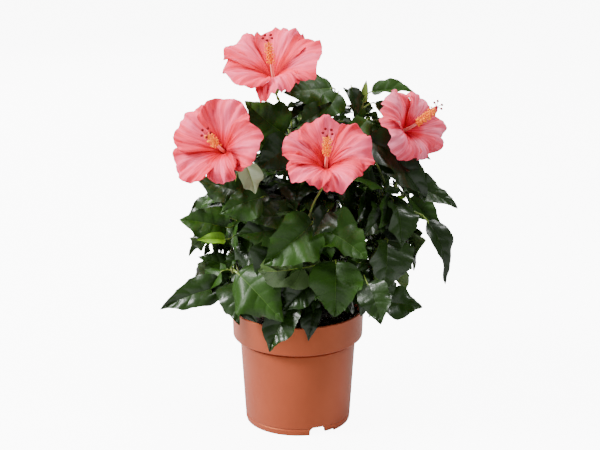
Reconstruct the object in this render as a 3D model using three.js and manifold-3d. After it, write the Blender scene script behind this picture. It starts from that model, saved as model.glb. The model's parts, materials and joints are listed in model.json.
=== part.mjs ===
// A hibiscus in flower in a nursery pot, in millimetres with +Z up. The origin is the centre of
// the pot's flat underside, +X is the plant's right and -Y its front. The plant is grown by one
// seeded rule: a trunk, boughs that run to the foot of each mass of leaves, a stem with two
// twigs in each mass, and leaves that take the places still free.
import * as THREE from 'three';
import { mergeVertices } from 'three/addons/utils/BufferGeometryUtils.js';
import Module from 'manifold-3d';

const wasm = await Module();
wasm.setup();

// The pot
const potHeight = 118;
const rimRadius = 65;
const rimDrop = 29.5;
const rimFootRadius = 63.9;
const shoulderRadius = 57.2;
const footRadius = 51.8;
const wall = 2;
const floorThickness = 2.5;
const potSides = 30;
const notchCount = 3;
const notchTurn = -68;
const notchWidth = 16;
const notchHeight = 8;
const notchRun = 18;
const stepWidth = 11;
const stepHeight = 2.4;
const hood = 1.8;

// The compost, the trunk and the boughs
const gap = 0.3;
const soilLevel = 108;
const trunkFootRadius = 6.2;
const trunkTipRadius = 2.2;
const trunkFlare = 3.2;
const boughRadius = 2.6;
const stemRadius = 1.9;
const stemTipRadius = 1.3;
const stalkRadius = 0.9;
const stemSteps = 6;

// How leaves grow
const goldenTurn = 137.5;
const leafClearance = 4.8;
const limbClearance = 4.6;
const stalkShare = 0.34;
const stalkOpening = 58;
const twigOpening = 48;
const wobble = 0.06;
const lowestOverPot = 114;
const lowestBeside = 124;
const keelShare = 0.024;

// Each mass of leaves: where its stem starts, the way it heads (turn and rise in degrees), its
// length, how far it bends upward, how many leaves it may carry, the turn of the first one, the
// length and droop of a full leaf, its seed, and the leaves that draw the outline. Those are
// given by where the blade starts, where its tip reaches, and its breadth per length.
const masses = [
  { name: 'crown', foot: [6, 6, 225], turn: -15, rise: 76, length: 98, lift: 0.3, leaves: 10,
    first: 60, leaf: 56, droop: 28, seed: 11, outline: [
      { from: [33, -2, 337], to: [-12, -20, 333], broad: 0.78 },
      { from: [25, -20, 320], to: [0, -36, 308], broad: 0.75 } ] },
  { name: 'front', foot: [6, -36, 180], turn: -78, rise: 50, length: 62, lift: 0.7, leaves: 8,
    first: 150, leaf: 56, droop: 30, seed: 12, outline: [
      { from: [23, -60, 216], to: [66, -84, 197], broad: 0.82 },
      { from: [14, -74, 226], to: [-30, -98, 192], broad: 0.78 } ] },
  { name: 'low_front', foot: [12, -34, 136], turn: -65, rise: 44, length: 52, lift: 0.4, leaves: 8,
    first: 40, leaf: 52, droop: 15, seed: 13, outline: [
      { from: [36, -66, 185], to: [34, -84, 135], broad: 0.88 },
      { from: [-5, -70, 148], to: [-29, -82, 102], broad: 0.6 },
      { from: [15, -52, 142], to: [13, -72, 107], broad: 0.5 } ] },
  { name: 'left', foot: [-40, -18, 188], turn: 215, rise: 55, length: 66, lift: 0.5, leaves: 8,
    first: 54, leaf: 56, droop: 28, seed: 14, outline: [
      { from: [-67, -45, 212], to: [-110, -52, 226], broad: 0.75 },
      { from: [-68, -63, 206], to: [-94, -74, 209], broad: 0.42 },
      { from: [-33, -62, 247], to: [-73, -78, 240], broad: 0.75 },
      { from: [-54, -40, 245], to: [-94, -42, 260], broad: 0.72 } ] },
  { name: 'low_left', foot: [-38, -28, 138], turn: 215, rise: 38, length: 44, lift: 0.4, leaves: 7,
    first: 200, leaf: 56, droop: 15, seed: 15, outline: [
      { from: [-57, -66, 174], to: [-11, -95, 140], broad: 0.8 },
      { from: [-71, -45, 153], to: [-134, -52, 139], broad: 0.62 },
      { from: [-58, -15, 159], to: [-96, -8, 172], broad: 0.55 } ] },
  { name: 'upper_left', foot: [-14, 10, 235], turn: 300, rise: 76, length: 62, lift: 0.3, leaves: 8,
    first: 0, leaf: 56, droop: 28, seed: 16, outline: [
      { from: [-13, -10, 294], to: [-51, -22, 326], broad: 0.82 },
      { from: [-5, -20, 289], to: [-37, -35, 264], broad: 0.8 } ] },
  { name: 'right', foot: [50, -6, 190], turn: -6, rise: 44, length: 66, lift: 0.5, leaves: 7,
    first: 150, leaf: 60, droop: 30, seed: 17, outline: [
      { from: [113, 22, 252], to: [74, 30, 255], broad: 0.7 },
      { from: [102, -10, 249], to: [154, -20, 223], broad: 0.5 },
      { from: [90, -35, 236], to: [98, -58, 197], broad: 0.68 },
      { from: [108, -2, 228], to: [138, -4, 193], broad: 0.6 },
      { from: [124, -20, 211], to: [148, -32, 150], broad: 0.55 } ] },
  { name: 'low_right', foot: [44, -26, 138], turn: -38, rise: 40, length: 60, lift: 0.4, leaves: 6,
    first: 10, leaf: 56, droop: 15, seed: 18, outline: [
      { from: [85, -46, 200], to: [81, -66, 151], broad: 0.9 },
      { from: [84, -45, 137], to: [119, -50, 137], broad: 0.85 },
      { from: [65, -83, 169], to: [81, -103, 138], broad: 0.75 } ] },
  { name: 'upper_right', foot: [32, 10, 238], turn: -12, rise: 60, length: 88, lift: 0.5, leaves: 9,
    first: 60, leaf: 56, droop: 25, seed: 19, bud: 22, outline: [
      { from: [57, 5, 304], to: [43, 0, 336], broad: 0.55 },
      { from: [71, 22, 328], to: [113, 18, 331], broad: 0.6 },
      { from: [65, 20, 290], to: [128, 28, 256], broad: 0.6 } ] },
  { name: 'back_left', foot: [-34, 34, 190], turn: 135, rise: 48, length: 80, lift: 0.5, leaves: 9,
    first: 40, leaf: 62, droop: 25, seed: 20, outline: [] },
  { name: 'back', foot: [4, 38, 218], turn: 90, rise: 62, length: 84, lift: 0.5, leaves: 10,
    first: 80, leaf: 60, droop: 25, seed: 21, outline: [] },
  { name: 'back_right', foot: [38, 34, 190], turn: 45, rise: 48, length: 80, lift: 0.5, leaves: 9,
    first: 10, leaf: 62, droop: 25, seed: 22, outline: [] },
  { name: 'low_back', foot: [0, 36, 140], turn: 90, rise: 34, length: 60, lift: 0.5, leaves: 8,
    first: 30, leaf: 58, droop: 18, seed: 23, outline: [] },
  { name: 'low_back_left', foot: [-42, 20, 140], turn: 160, rise: 34, length: 60, lift: 0.5, leaves: 9,
    first: 90, leaf: 58, droop: 18, seed: 24, outline: [] },
  { name: 'low_back_right', foot: [42, 20, 140], turn: 20, rise: 34, length: 60, lift: 0.5, leaves: 9,
    first: 150, leaf: 58, droop: 18, seed: 25, outline: [] },
];

// The height at which each bough leaves the trunk
const boughHeights = {
  front: 148, low_front: 122, left: 152, low_left: 117, upper_left: 200, right: 156, low_right: 117,
  upper_right: 192, back_left: 160, back: 178, back_right: 165, low_back: 122, low_back_left: 129,
  low_back_right: 125,
};

// Each open flower: the mass whose stem carries it, its throat, the way it faces, the reach of its
// petals, the turn of the first petal, and how strongly the petals fold back and ruffle.
const blooms = [
  { name: 'bloom_top', on: 'upper_left', throat: [-23, -15, 351], faces: [-0.12, -0.45, 0.9],
    radius: 48, first: 20, fold: 0.1, ruffle: 0.07, seed: 41 },
  { name: 'bloom_left', on: 'left', throat: [-69, -60, 291], faces: [-0.3, -0.8, 0.5],
    radius: 45, first: 5, fold: 0.08, ruffle: 0.07, seed: 42 },
  { name: 'bloom_front', on: 'front', throat: [26, -70, 279], faces: [0.02, -0.62, 0.78],
    radius: 46, first: 50, fold: 0.1, ruffle: 0.07, seed: 43 },
  { name: 'bloom_right', on: 'right', throat: [101, -20, 300], faces: [0.62, -0.62, 0.38],
    radius: 40, first: 30, fold: 0.2, ruffle: 0.08, seed: 44 },
];
const petalCount = 5;
const petalThickness = 1;
const calyxLength = 20;
const calyxRadius = 5;

// Small vector helpers on three.js vectors
const vec = (p) => new THREE.Vector3(...p);
const up = new THREE.Vector3(0, 0, 1);
const sum = (a, b, k = 1) => a.clone().addScaledVector(b, k);
const unit = (v) => v.clone().normalize();
const cross = (a, b) => new THREE.Vector3().crossVectors(a, b);
const turned = (v, axis, angle) => {
  const c = Math.cos(angle);
  const s = Math.sin(angle);
  return v.clone().multiplyScalar(c).addScaledVector(cross(axis, v), s)
    .addScaledVector(axis, axis.dot(v) * (1 - c));
};
const rad = (degrees) => degrees * Math.PI / 180;
const heading = (turn, rise) => new THREE.Vector3(
  Math.cos(rad(rise)) * Math.cos(rad(turn)), Math.cos(rad(rise)) * Math.sin(rad(turn)), Math.sin(rad(rise)));
const across = (v, axis) => unit(sum(v, axis, -v.dot(axis)));

// A direction square to an axis, turned about it
function radial(axis, degrees) {
  const side = Math.abs(axis.y) < 0.9 ? new THREE.Vector3(0, 1, 0) : new THREE.Vector3(1, 0, 0);
  return turned(unit(cross(axis, side)), axis, rad(degrees));
}

// Seeded numbers, the same on every run
function seeded(seed) {
  let state = seed >>> 0;
  const next = () => {
    state = (Math.imul(state, 1664525) + 1013904223) >>> 0;
    return state / 4294967296;
  };
  return { next, spread: (k) => (next() * 2 - 1) * k };
}

// A shoot's path: it bends upward and wanders a little
function shootPath(foot, head, length, lift, steps, rnd) {
  const path = [foot.clone()];
  let h = head.clone();
  for (let i = 0; i < steps; i++) {
    const stray = new THREE.Vector3(rnd.spread(wobble), rnd.spread(wobble), rnd.spread(wobble));
    h = unit(sum(h, up, lift / stemSteps).add(stray));
    path.push(sum(path[i], h, length / steps));
  }
  return path;
}

// The point and the direction at a share t of a path
function along(path, t) {
  const s = Math.min(0.999, t) * (path.length - 1);
  const i = Math.min(Math.floor(s), path.length - 2);
  return { point: path[i].clone().lerp(path[i + 1], s - i), axis: unit(sum(path[i + 1], path[i], -1)) };
}

// The leaf blade: broad near its stalk and drawn out to a point, folded along its midrib, bent
// down along its length and waved at its edges. t runs along it and s across it, from -1 to 1.
const halfWidth = (t) => 0.5 * Math.max(0, Math.sin(Math.PI * t ** 0.62)) ** 0.8;

function bladePoint(leaf, t, s) {
  const bent = leaf.bend * t;
  const run = leaf.size / leaf.bend;
  const side = cross(leaf.along, leaf.face);
  const lift = leaf.face.clone().multiplyScalar(Math.cos(bent)).addScaledVector(leaf.along, Math.sin(bent));
  const w = halfWidth(t) * leaf.size * leaf.broad;
  const wave = 0.12 * Math.sin(2 * Math.PI * 1.6 * t + leaf.phase + (s > 0 ? 1.3 : 0)) * Math.abs(s);
  return leaf.joint.clone()
    .addScaledVector(leaf.along, run * Math.sin(bent))
    .addScaledVector(leaf.face, -run * (1 - Math.cos(bent)))
    .addScaledVector(side, w * s * Math.cos(leaf.fold))
    .addScaledVector(lift, w * (Math.abs(s) * Math.sin(leaf.fold) + wave));
}

function leafTests(leaf) {
  const points = [];
  for (let i = 0; i < 10; i++) {
    for (let j = -3; j <= 3; j++) {
      points.push(bladePoint(leaf, 0.05 + i * 0.105, j / 3));
    }
  }
  return points;
}

// A leaf of the rule: its stalk opens from the stem, and its blade faces outward and up
function freeLeaf(root, axis, degrees, size, droop, rnd) {
  const open = rad(stalkOpening);
  const stalk = unit(radial(axis, degrees).multiplyScalar(Math.sin(open)).addScaledVector(axis, Math.cos(open)));
  const joint = sum(root, stalk, size * stalkShare);
  const r = Math.max(1, Math.hypot(joint.x, joint.y));
  const out = new THREE.Vector3(joint.x / r, joint.y / r, 0);
  const k = Math.min(1, r / 60);
  const tilt = rad(Math.min(60, 30 + 24 * (joint.z - 130) / 200));
  let face = unit(out.clone().multiplyScalar(Math.cos(tilt) * k).addScaledVector(up, Math.sin(tilt) + (1 - k) * 0.5));
  face = unit(face.add(new THREE.Vector3(rnd.spread(0.28), rnd.spread(0.28), rnd.spread(0.15))));
  const lean = sum(sum(stalk, out, 0.25), up, -Math.tan(rad(droop)) * 0.9);
  return { root, joint, along: across(lean, face), face, size, broad: 0.74,
    bend: rad(30 + rnd.spread(18)), fold: rad(12 + rnd.spread(8)), phase: rnd.spread(Math.PI) };
}

// A leaf of the outline: its blade runs between two places, its stalk comes from the stem below
function outlineLeaf(path, row, index, rnd) {
  const from = vec(row.from);
  const to = vec(row.to);
  let near = 1;
  for (let i = 1; i <= 40; i++) {
    if (along(path, i / 40).point.distanceTo(from) < along(path, near / 40).point.distanceTo(from)) {
      near = i;
    }
  }
  const root = along(path, Math.max(0.05, near / 40 - 0.115 - 0.055 * index)).point;
  const way = unit(sum(to, from, -1));
  const r = Math.max(1, Math.hypot(from.x, from.y));
  const seen = new THREE.Vector3(0.45 * from.x / r, 0.45 * from.y / r - 0.7, 0.6);
  const face = turned(across(seen, way), way, rnd.spread(0.3));
  const bend = rad(28);
  const side = cross(face, way);
  return { root, joint: from, along: turned(way, side, -bend / 2), face: turned(face, side, -bend / 2),
    size: from.distanceTo(to) * 1.02, broad: row.broad * 1.05, bend, fold: rad(14), phase: rnd.spread(Math.PI) };
}

// What is taken so far: points with the room each one keeps, and whose they are. A limb lets its
// own stalks in and keeps its own blades at half that room.
const taken = [];

function take(points, room, owner, limb = false) {
  for (const point of points) {
    taken.push({ point, room, owner, limb });
  }
}

function isFree(points, owner, share = 1) {
  for (const { point, room, owner: who, limb } of taken) {
    const own = limb && who === owner;
    if (own && share < 1) {
      continue;
    }
    const reach = room * (own ? 0.5 : share);
    for (const p of points) {
      if (Math.abs(p.x - point.x) < reach && p.distanceToSquared(point) < reach * reach) {
        return false;
      }
    }
  }
  return true;
}

const tooLow = (p) => p.z < (Math.hypot(p.x, p.y) < 58 ? lowestOverPot : lowestBeside);
const between = (a, b, count) => Array.from({ length: count }, (_, i) => a.clone().lerp(b, (i + 1) / (count + 1)));
const evenly = (path, count) => Array.from({ length: count }, (_, i) => along(path, (i + 0.5) / count).point);

// A curved path from one place to another, with the directions at its ends and short straight ends
function curvedPath(start, startWay, end, endWay, steps) {
  const far = start.distanceTo(end) * 0.36;
  const first = sum(start, startWay, 1.2);
  const last = sum(end, endWay, -1.2);
  const curve = new THREE.CubicBezierCurve3(first, sum(first, startWay, far), sum(last, endWay, -far), last);
  return [start, ...curve.getPoints(steps), end];
}

// Growing the plant: stems first, then boughs, flowers, outline leaves, twigs and free leaves
for (const mass of masses) {
  mass.rnd = seeded(mass.seed * 7919);
  mass.stem = shootPath(vec(mass.foot), heading(mass.turn, mass.rise), mass.length, mass.lift, stemSteps, mass.rnd);
  mass.grown = [];
  mass.twigs = [];
  take(evenly(mass.stem, 20), limbClearance, mass.name, true);
}

// The trunk rises from below the soil line, where it is cut flat, and leans over to the crown
const headOf = (stem) => unit(sum(stem[1], stem[0], -1));
const crownStem = masses[0].stem;
const trunkPath = curvedPath(new THREE.Vector3(0, 0, soilLevel - 4), up,
  sum(crownStem[0], headOf(crownStem), -gap), headOf(crownStem), 9);
const trunkRise = crownStem[0].z - soilLevel;
const trunkRadii = trunkPath.map(({ z }) => {
  const u = Math.max(0, (z - soilLevel) / trunkRise);
  return trunkTipRadius + (trunkFootRadius - trunkTipRadius) * (1 - u) + trunkFlare * Math.exp(-u * 16);
});
take(trunkPath, 8, 'trunk');

function trunkAt(height) {
  const j = trunkPath.findIndex((p) => p.z > height);
  const low = trunkPath[j - 1];
  return low.clone().lerp(trunkPath[j], (height - low.z) / (trunkPath[j].z - low.z));
}

function boughPath(mass) {
  const start = trunkAt(boughHeights[mass.name]);
  const end = sum(mass.stem[0], headOf(mass.stem), -gap);
  const out = sum(end, start, -1).setZ(0);
  return curvedPath(start, unit(sum(unit(out), up, 0.35)), end, headOf(mass.stem), 4);
}
for (const mass of masses) {
  if (boughHeights[mass.name]) {
    mass.bough = boughPath(mass);
    take(evenly(mass.bough, 14), limbClearance + 1, `bough_${mass.name}`);
  }
}

function bloomStalk(bloom) {
  const stem = masses.find((mass) => mass.name === bloom.on).stem;
  const tip = stem[stemSteps];
  const way = unit(sum(tip, stem[stemSteps - 1], -1));
  return curvedPath(sum(tip, way, gap), way, sum(bloom.throat, bloom.faces, -calyxLength), bloom.faces, 4);
}
for (const bloom of blooms) {
  bloom.throat = vec(bloom.throat);
  bloom.faces = unit(vec(bloom.faces));
  bloom.stalk = bloomStalk(bloom);
  take(evenly(bloom.stalk, 12), limbClearance, bloom.name);
  for (let turn = 0; turn < 360; turn += 30) {
    for (const share of [0.35, 0.7, 1]) {
      const ring = sum(bloom.throat, radial(bloom.faces, turn), bloom.radius * share);
      take([sum(ring, bloom.faces, bloom.radius * 0.35 * share)], 11, bloom.name);
    }
  }
}

function keepLeaf(mass, leaf) {
  mass.grown.push(leaf);
  take(leafTests(leaf), leafClearance, mass.name);
  take(between(leaf.root, leaf.joint, 6), 4, mass.name, true);
}
for (const mass of masses) {
  mass.outline.forEach((row, index) => keepLeaf(mass, outlineLeaf(mass.stem, row, index, mass.rnd)));
}

// Two twigs a mass, where they have room
for (const mass of masses) {
  for (const at of [0.3, 0.6]) {
    const { point, axis } = along(mass.stem, at);
    for (const turn of [0, 75, -75]) {
      const open = rad(twigOpening);
      const side = radial(axis, mass.first + goldenTurn * at * 5 + turn);
      const head = unit(side.multiplyScalar(Math.sin(open)).addScaledVector(axis, Math.cos(open)));
      const twig = shootPath(point, head, mass.length * 0.42, 0.6, 3, mass.rnd);
      if (isFree(evenly(twig, 8).slice(2), mass.name) && !twig.some(tooLow)) {
        mass.twigs.push(twig);
        take(evenly(twig, 8), 4, mass.name, true);
        break;
      }
    }
  }
}

// A leaf tries some other turns, droops and sizes before it is left out
const tries = [
  [0, 0, 1], [24, 6, 1], [-24, -6, 1], [0, 18, 0.9], [48, 0, 0.88], [-48, 10, 0.88],
  [20, -22, 0.8], [-20, 28, 0.8], [75, 5, 0.75], [-75, 5, 0.75], [36, -10, 0.62], [-36, -10, 0.62],
  [110, 0, 0.6], [-110, 0, 0.6],
];

function growLeaf(mass, path, t, degrees, size, droop) {
  const { point, axis } = along(path, t);
  for (const [turn, extra, share] of tries) {
    const leaf = freeLeaf(point, axis, degrees + turn, size * share, droop + extra, mass.rnd);
    const tests = leafTests(leaf);
    const stalk = between(leaf.root, leaf.joint, 5).slice(1);
    if (!tests.some(tooLow) && isFree(tests, mass.name) && isFree(stalk, mass.name, 0.7)) {
      keepLeaf(mass, leaf);
      return;
    }
  }
}
for (const mass of masses) {
  for (let k = 0; k < mass.leaves; k++) {
    const t = 0.12 + 0.78 * k / (mass.leaves - 1);
    const young = Math.max(0, (t - 0.55) / 0.45) ** 1.3;
    const size = mass.leaf * (1 - 0.55 * young) * (0.92 + mass.rnd.next() * 0.16);
    growLeaf(mass, mass.stem, t, mass.first + goldenTurn * k, size, mass.droop * (1.15 - 0.75 * t) + mass.rnd.spread(9));
  }
  for (const twig of mass.twigs) {
    for (const t of [0.6, 0.97]) {
      const size = mass.leaf * (0.95 - 0.3 * t) * (0.92 + mass.rnd.next() * 0.16);
      growLeaf(mass, twig, t, mass.first + goldenTurn * 5 * t, size, mass.droop * 0.7 + mass.rnd.spread(9));
    }
  }
}

// Solids
function solidOf(geometry) {
  const bare = geometry.clone();
  bare.deleteAttribute('normal');
  bare.deleteAttribute('uv');
  const merged = mergeVertices(bare, 1e-4);
  return new wasm.Manifold(new wasm.Mesh({
    numProp: 3,
    vertProperties: merged.attributes.position.array,
    triVerts: new Uint32Array(merged.index.array),
  }));
}

function geometryFrom(points, triangles) {
  const geometry = new THREE.BufferGeometry();
  geometry.setAttribute('position', new THREE.Float32BufferAttribute(points.flatMap((p) => [p.x, p.y, p.z]), 3));
  geometry.setIndex(triangles.flat());
  return geometry;
}

function joined(solids) {
  return solids.reduce((all, one) => all.add(one));
}

// Rings of points, one after another, closed by a fan at the start and at the end or by a tip.
// With a tip it is a leaf, whose lower half is cut along the other diagonal: its two thin faces
// then fold alike and can't pass through each other.
function ringSolid(rings, tip = null) {
  const sides = rings[0].length;
  const points = rings.flat();
  const last = (rings.length - 1) * sides;
  const triangles = [];
  for (let j = 0; j < rings.length - 1; j++) {
    for (let i = 0; i < sides; i++) {
      const a = j * sides + i;
      const b = j * sides + (i + 1) % sides;
      if (tip && i >= sides / 2) {
        triangles.push([a, b, a + sides], [b, b + sides, a + sides]);
      } else {
        triangles.push([a, b, b + sides], [a, b + sides, a + sides]);
      }
    }
  }
  for (let i = 1; i < sides - 1; i++) {
    triangles.push([0, i + 1, i]);
    if (!tip) {
      triangles.push([last, last + i, last + i + 1]);
    }
  }
  if (tip) {
    points.push(tip);
    for (let i = 0; i < sides; i++) {
      triangles.push([last + i, last + (i + 1) % sides, points.length - 1]);
    }
  }
  return solidOf(geometryFrom(points, triangles));
}

// A round limb along a path, with a radius at each point
function limbSolid(path, radii, sides) {
  let side = null;
  const rings = path.map((centre, j) => {
    const way = unit(sum(path[Math.min(j + 1, path.length - 1)], path[Math.max(j - 1, 0)], -1));
    side = side ? across(side, way) : radial(way, 0);
    const other = cross(way, side);
    return Array.from({ length: sides }, (_, i) => {
      const a = 2 * Math.PI * i / sides;
      return sum(sum(centre, side, radii[j] * Math.cos(a)), other, radii[j] * Math.sin(a));
    });
  });
  return ringSolid(rings);
}
const taper = (path, from, to) => path.map((_, i) => from + (to - from) * i / (path.length - 1));

// A leaf is one closed solid: a slim stalk that opens into the blade, which has a folded top and a
// keel under its midrib
const bladeRows = [0.12, 0.4, 0.74];

function leafSolid(leaf) {
  const side = cross(leaf.along, leaf.face);
  const stalk = unit(sum(leaf.joint, leaf.root, -1));
  const thin = Math.max(0.6, stalkRadius * leaf.size / 60);
  const stalkRing = (centre, way, radius) => {
    const right = across(side, way);
    const top = cross(right, way);
    return [sum(centre, right, -radius), sum(centre, top, radius), sum(centre, right, radius), sum(centre, top, -radius)];
  };
  const bladeRing = (t) => {
    const bent = leaf.bend * t;
    const lift = leaf.face.clone().multiplyScalar(Math.cos(bent)).addScaledVector(leaf.along, Math.sin(bent));
    const top = bladePoint(leaf, t, 0);
    const keel = sum(top, lift, -keelShare * leaf.size * (1.15 - t * 0.6));
    return [bladePoint(leaf, t, -1), top, bladePoint(leaf, t, 1), keel];
  };
  return ringSolid([
    stalkRing(leaf.root, stalk, thin), stalkRing(leaf.joint, unit(sum(stalk, leaf.along)), thin * 0.8),
    ...bladeRows.map(bladeRing),
  ], bladePoint(leaf, 1, 0));
}

function budSolid(mass) {
  const tip = mass.stem[stemSteps];
  const way = unit(sum(unit(sum(tip, mass.stem[stemSteps - 1], -1)), up, 1.2));
  const shares = [-0.1, 0, 0.2, 0.45, 0.75, 1];
  const radii = [0.7, 0.9, 3, 3.8, 2.2, 0.3];
  return limbSolid(shares.map((share) => sum(tip, way, share * mass.bud)), radii, 5);
}

function foliageSolid(mass) {
  const pieces = [limbSolid(mass.stem, taper(mass.stem, stemRadius, stemTipRadius), 3)];
  for (const twig of mass.twigs) {
    pieces.push(limbSolid(twig, taper(twig, 1.1, 0.7), 3));
  }
  for (const leaf of mass.grown) {
    pieces.push(leafSolid(leaf));
  }
  if (mass.bud) {
    pieces.push(budSolid(mass));
  }
  return joined(pieces);
}

// A petal: narrow at the throat, wide and ruffled at its rim, one edge lifted over its neighbour
function petalPoint(bloom, index, t, s) {
  const phase = seeded(bloom.seed * 977 + index * 131).next() * 2 * Math.PI;
  const turn = bloom.first + 360 / petalCount * index + s * (34 + 14 * Math.sin(Math.PI * t));
  const reach = bloom.radius * (0.06 + 0.94 * t) * (1 - 0.16 * s * s * t * t);
  const flare = 0.5 * (1 - (1 - t) ** 1.8) - bloom.fold * t ** 4;
  const ruffle = bloom.ruffle * t * t * Math.sin(5 * s + 3 * t + phase);
  const rise = bloom.radius * (flare + ruffle + 0.07 * s * (0.35 + 0.65 * t));
  return sum(sum(bloom.throat, radial(bloom.faces, turn), reach), bloom.faces, rise);
}

function petalSolid(bloom, index) {
  const rows = 4;
  const columns = 3;
  const layers = [-0.5, 0.5].map((share) => {
    const points = [];
    for (let j = 0; j <= rows; j++) {
      for (let i = 0; i <= columns; i++) {
        points.push(sum(petalPoint(bloom, index, j / rows, i / columns * 2 - 1), bloom.faces, share * petalThickness * 1.4));
      }
    }
    return points;
  });
  const wide = columns + 1;
  const size = wide * (rows + 1);
  const triangles = [];
  for (let j = 0; j < rows; j++) {
    for (let i = 0; i < columns; i++) {
      const a = j * wide + i;
      triangles.push([a, a + 1, a + wide + 1], [a, a + wide + 1, a + wide]);
      triangles.push([size + a, size + a + wide + 1, size + a + 1], [size + a, size + a + wide, size + a + wide + 1]);
    }
  }
  const rim = [];
  for (let i = 0; i < columns; i++) rim.push(i);
  for (let j = 0; j < rows; j++) rim.push(j * wide + columns);
  for (let i = columns; i > 0; i--) rim.push(rows * wide + i);
  for (let j = rows; j > 0; j--) rim.push(j * wide);
  rim.forEach((a, k) => {
    const b = rim[(k + 1) % rim.length];
    triangles.push([a, size + b, b], [a, size + a, size + b]);
  });
  return solidOf(geometryFrom(layers.flat(), triangles));
}

// The column in the middle: a slender rod that carries the anthers in its outer half and five
// stigmas at its tip
function columnPoint(bloom, share) {
  const run = bloom.radius * 0.88 * share;
  return sum(sum(bloom.throat, bloom.faces, run - 3 * (1 - share)), up, bloom.radius * 0.07 * share * share);
}

function columnSolids(bloom) {
  const shares = [0, 0.45, 0.52, 0.84, 0.9, 1];
  const radii = [1.6, 1.2, 3, 3, 0.9, 0.8];
  const tip = columnPoint(bloom, 1);
  const way = unit(sum(tip, columnPoint(bloom, 0.9), -1));
  const pieces = [limbSolid(shares.map((share) => columnPoint(bloom, share)), radii, 4)];
  for (let i = 0; i < 5; i++) {
    const end = sum(sum(tip, radial(way, 72 * i), 4), way, 2.5);
    pieces.push(limbSolid([sum(tip, way, -1), end], [0.6, 1], 3));
  }
  return pieces;
}

function bloomSolid(bloom) {
  const pieces = [limbSolid(bloom.stalk, taper(bloom.stalk, 0.9, 1.5), 3)];
  const cup = [0, 0.2, 0.55, 1.15].map((share) => sum(bloom.throat, bloom.faces, calyxLength * (share - 1.04)));
  pieces.push(limbSolid(cup, [1.4, 3.6, calyxRadius, calyxRadius * 0.8], 5));
  for (let index = 0; index < petalCount; index++) {
    pieces.push(petalSolid(bloom, index));
  }
  return joined([...pieces, ...columnSolids(bloom)]);
}

// The pot is turned from its profile. Three drain notches run in under it, each below a thin hood.
function turnedSolid(profile, sides) {
  const lathe = new THREE.LatheGeometry(profile.map(([r, z]) => new THREE.Vector2(r, z)), sides);
  lathe.rotateX(Math.PI / 2);
  return solidOf(lathe);
}

function notchBlock(grow, from, to) {
  const half = notchWidth / 2 + grow;
  const top = notchHeight + grow;
  const bevel = 3;
  const shape = new THREE.Shape();
  shape.moveTo(half, -grow - 1);
  shape.lineTo(half, top - bevel);
  shape.lineTo(half - bevel, top);
  shape.lineTo(bevel - half, top);
  shape.lineTo(-half, top - bevel);
  shape.lineTo(-half, stepHeight + grow);
  shape.lineTo(-half - stepWidth, stepHeight + grow);
  shape.lineTo(-half - stepWidth, -grow - 1);
  const block = new THREE.ExtrudeGeometry(shape, { depth: to - from, bevelEnabled: false });
  block.rotateX(Math.PI / 2);
  block.translate(0, -from, 0);
  return block;
}

function notchSolids(grow, from, to, lowest) {
  return Array.from({ length: notchCount }, (_, i) => {
    const block = notchBlock(grow, from, to).rotateZ(rad(notchTurn + 90 + 360 / notchCount * i));
    return lowest === null ? solidOf(block) : solidOf(block).subtract(turnedSolid(
      [[0, -20], [90, -20], [90, lowest], [0, lowest]], 16));
  });
}

function potSolid() {
  const shelf = potHeight - rimDrop;
  const body = turnedSolid([
    [0, 0], [footRadius - 1.4, 0], [footRadius, 1.4], [shoulderRadius, shelf], [rimFootRadius - 0.5, shelf],
    [rimFootRadius, shelf + 0.6], [rimRadius, potHeight - 1.6], [rimRadius - 0.6, potHeight - 0.3],
    [rimRadius - 1.4, potHeight], [rimRadius - wall - 0.4, potHeight - 0.8], [rimFootRadius - wall, shelf + wall],
    [shoulderRadius - wall, shelf + wall], [footRadius - wall, floorThickness], [0, floorThickness],
  ], potSides);
  const inner = footRadius - notchRun;
  const hoods = notchSolids(hood, inner - hood, footRadius - 1.6, 0.5);
  return joined([body, ...hoods]).subtract(joined(notchSolids(0, inner, footRadius + 9, null)));
}

function compostSolid() {
  const shelf = potHeight - rimDrop;
  const inside = shoulderRadius - wall - gap;
  const plug = turnedSolid([
    [0, floorThickness + gap], [footRadius - wall - gap - 0.1, floorThickness + gap], [inside, shelf + wall + gap],
    [rimFootRadius - wall - gap - 0.2, shelf + wall + gap], [rimFootRadius - wall - gap, soilLevel - 1.2],
    [46, soilLevel + 0.6], [30, soilLevel - 1.4], [14, soilLevel - gap], [0, soilLevel - gap],
  ], potSides);
  return plug.subtract(joined(notchSolids(hood + gap, footRadius - notchRun - hood - gap, footRadius + 3, null)));
}

function trunkSolid() {
  const below = turnedSolid([[0, soilLevel - 30], [40, soilLevel - 30], [40, soilLevel], [0, soilLevel]], 12);
  return limbSolid(trunkPath, trunkRadii, 10).subtract(below);
}

function boughSolid(mass) {
  const keepOff = limbSolid(trunkPath, trunkRadii.map((r) => r + gap), 10);
  return limbSolid(mass.bough, taper(mass.bough, boughRadius, stemRadius), 4).subtract(keepOff);
}

// Materials
const terracotta = new THREE.MeshStandardMaterial({ color: 0xaa5e46, roughness: 0.55, metalness: 0 });
const earth = new THREE.MeshStandardMaterial({ color: 0x2c2019, roughness: 1, metalness: 0 });
const bark = new THREE.MeshStandardMaterial({ color: 0x6e5a44, roughness: 0.9, metalness: 0 });
const leafGreen = new THREE.MeshStandardMaterial({ color: 0x2f5a1e, roughness: 0.35, metalness: 0 });
const pink = new THREE.MeshStandardMaterial({ color: 0xf58287, roughness: 0.6, metalness: 0 });

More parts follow.
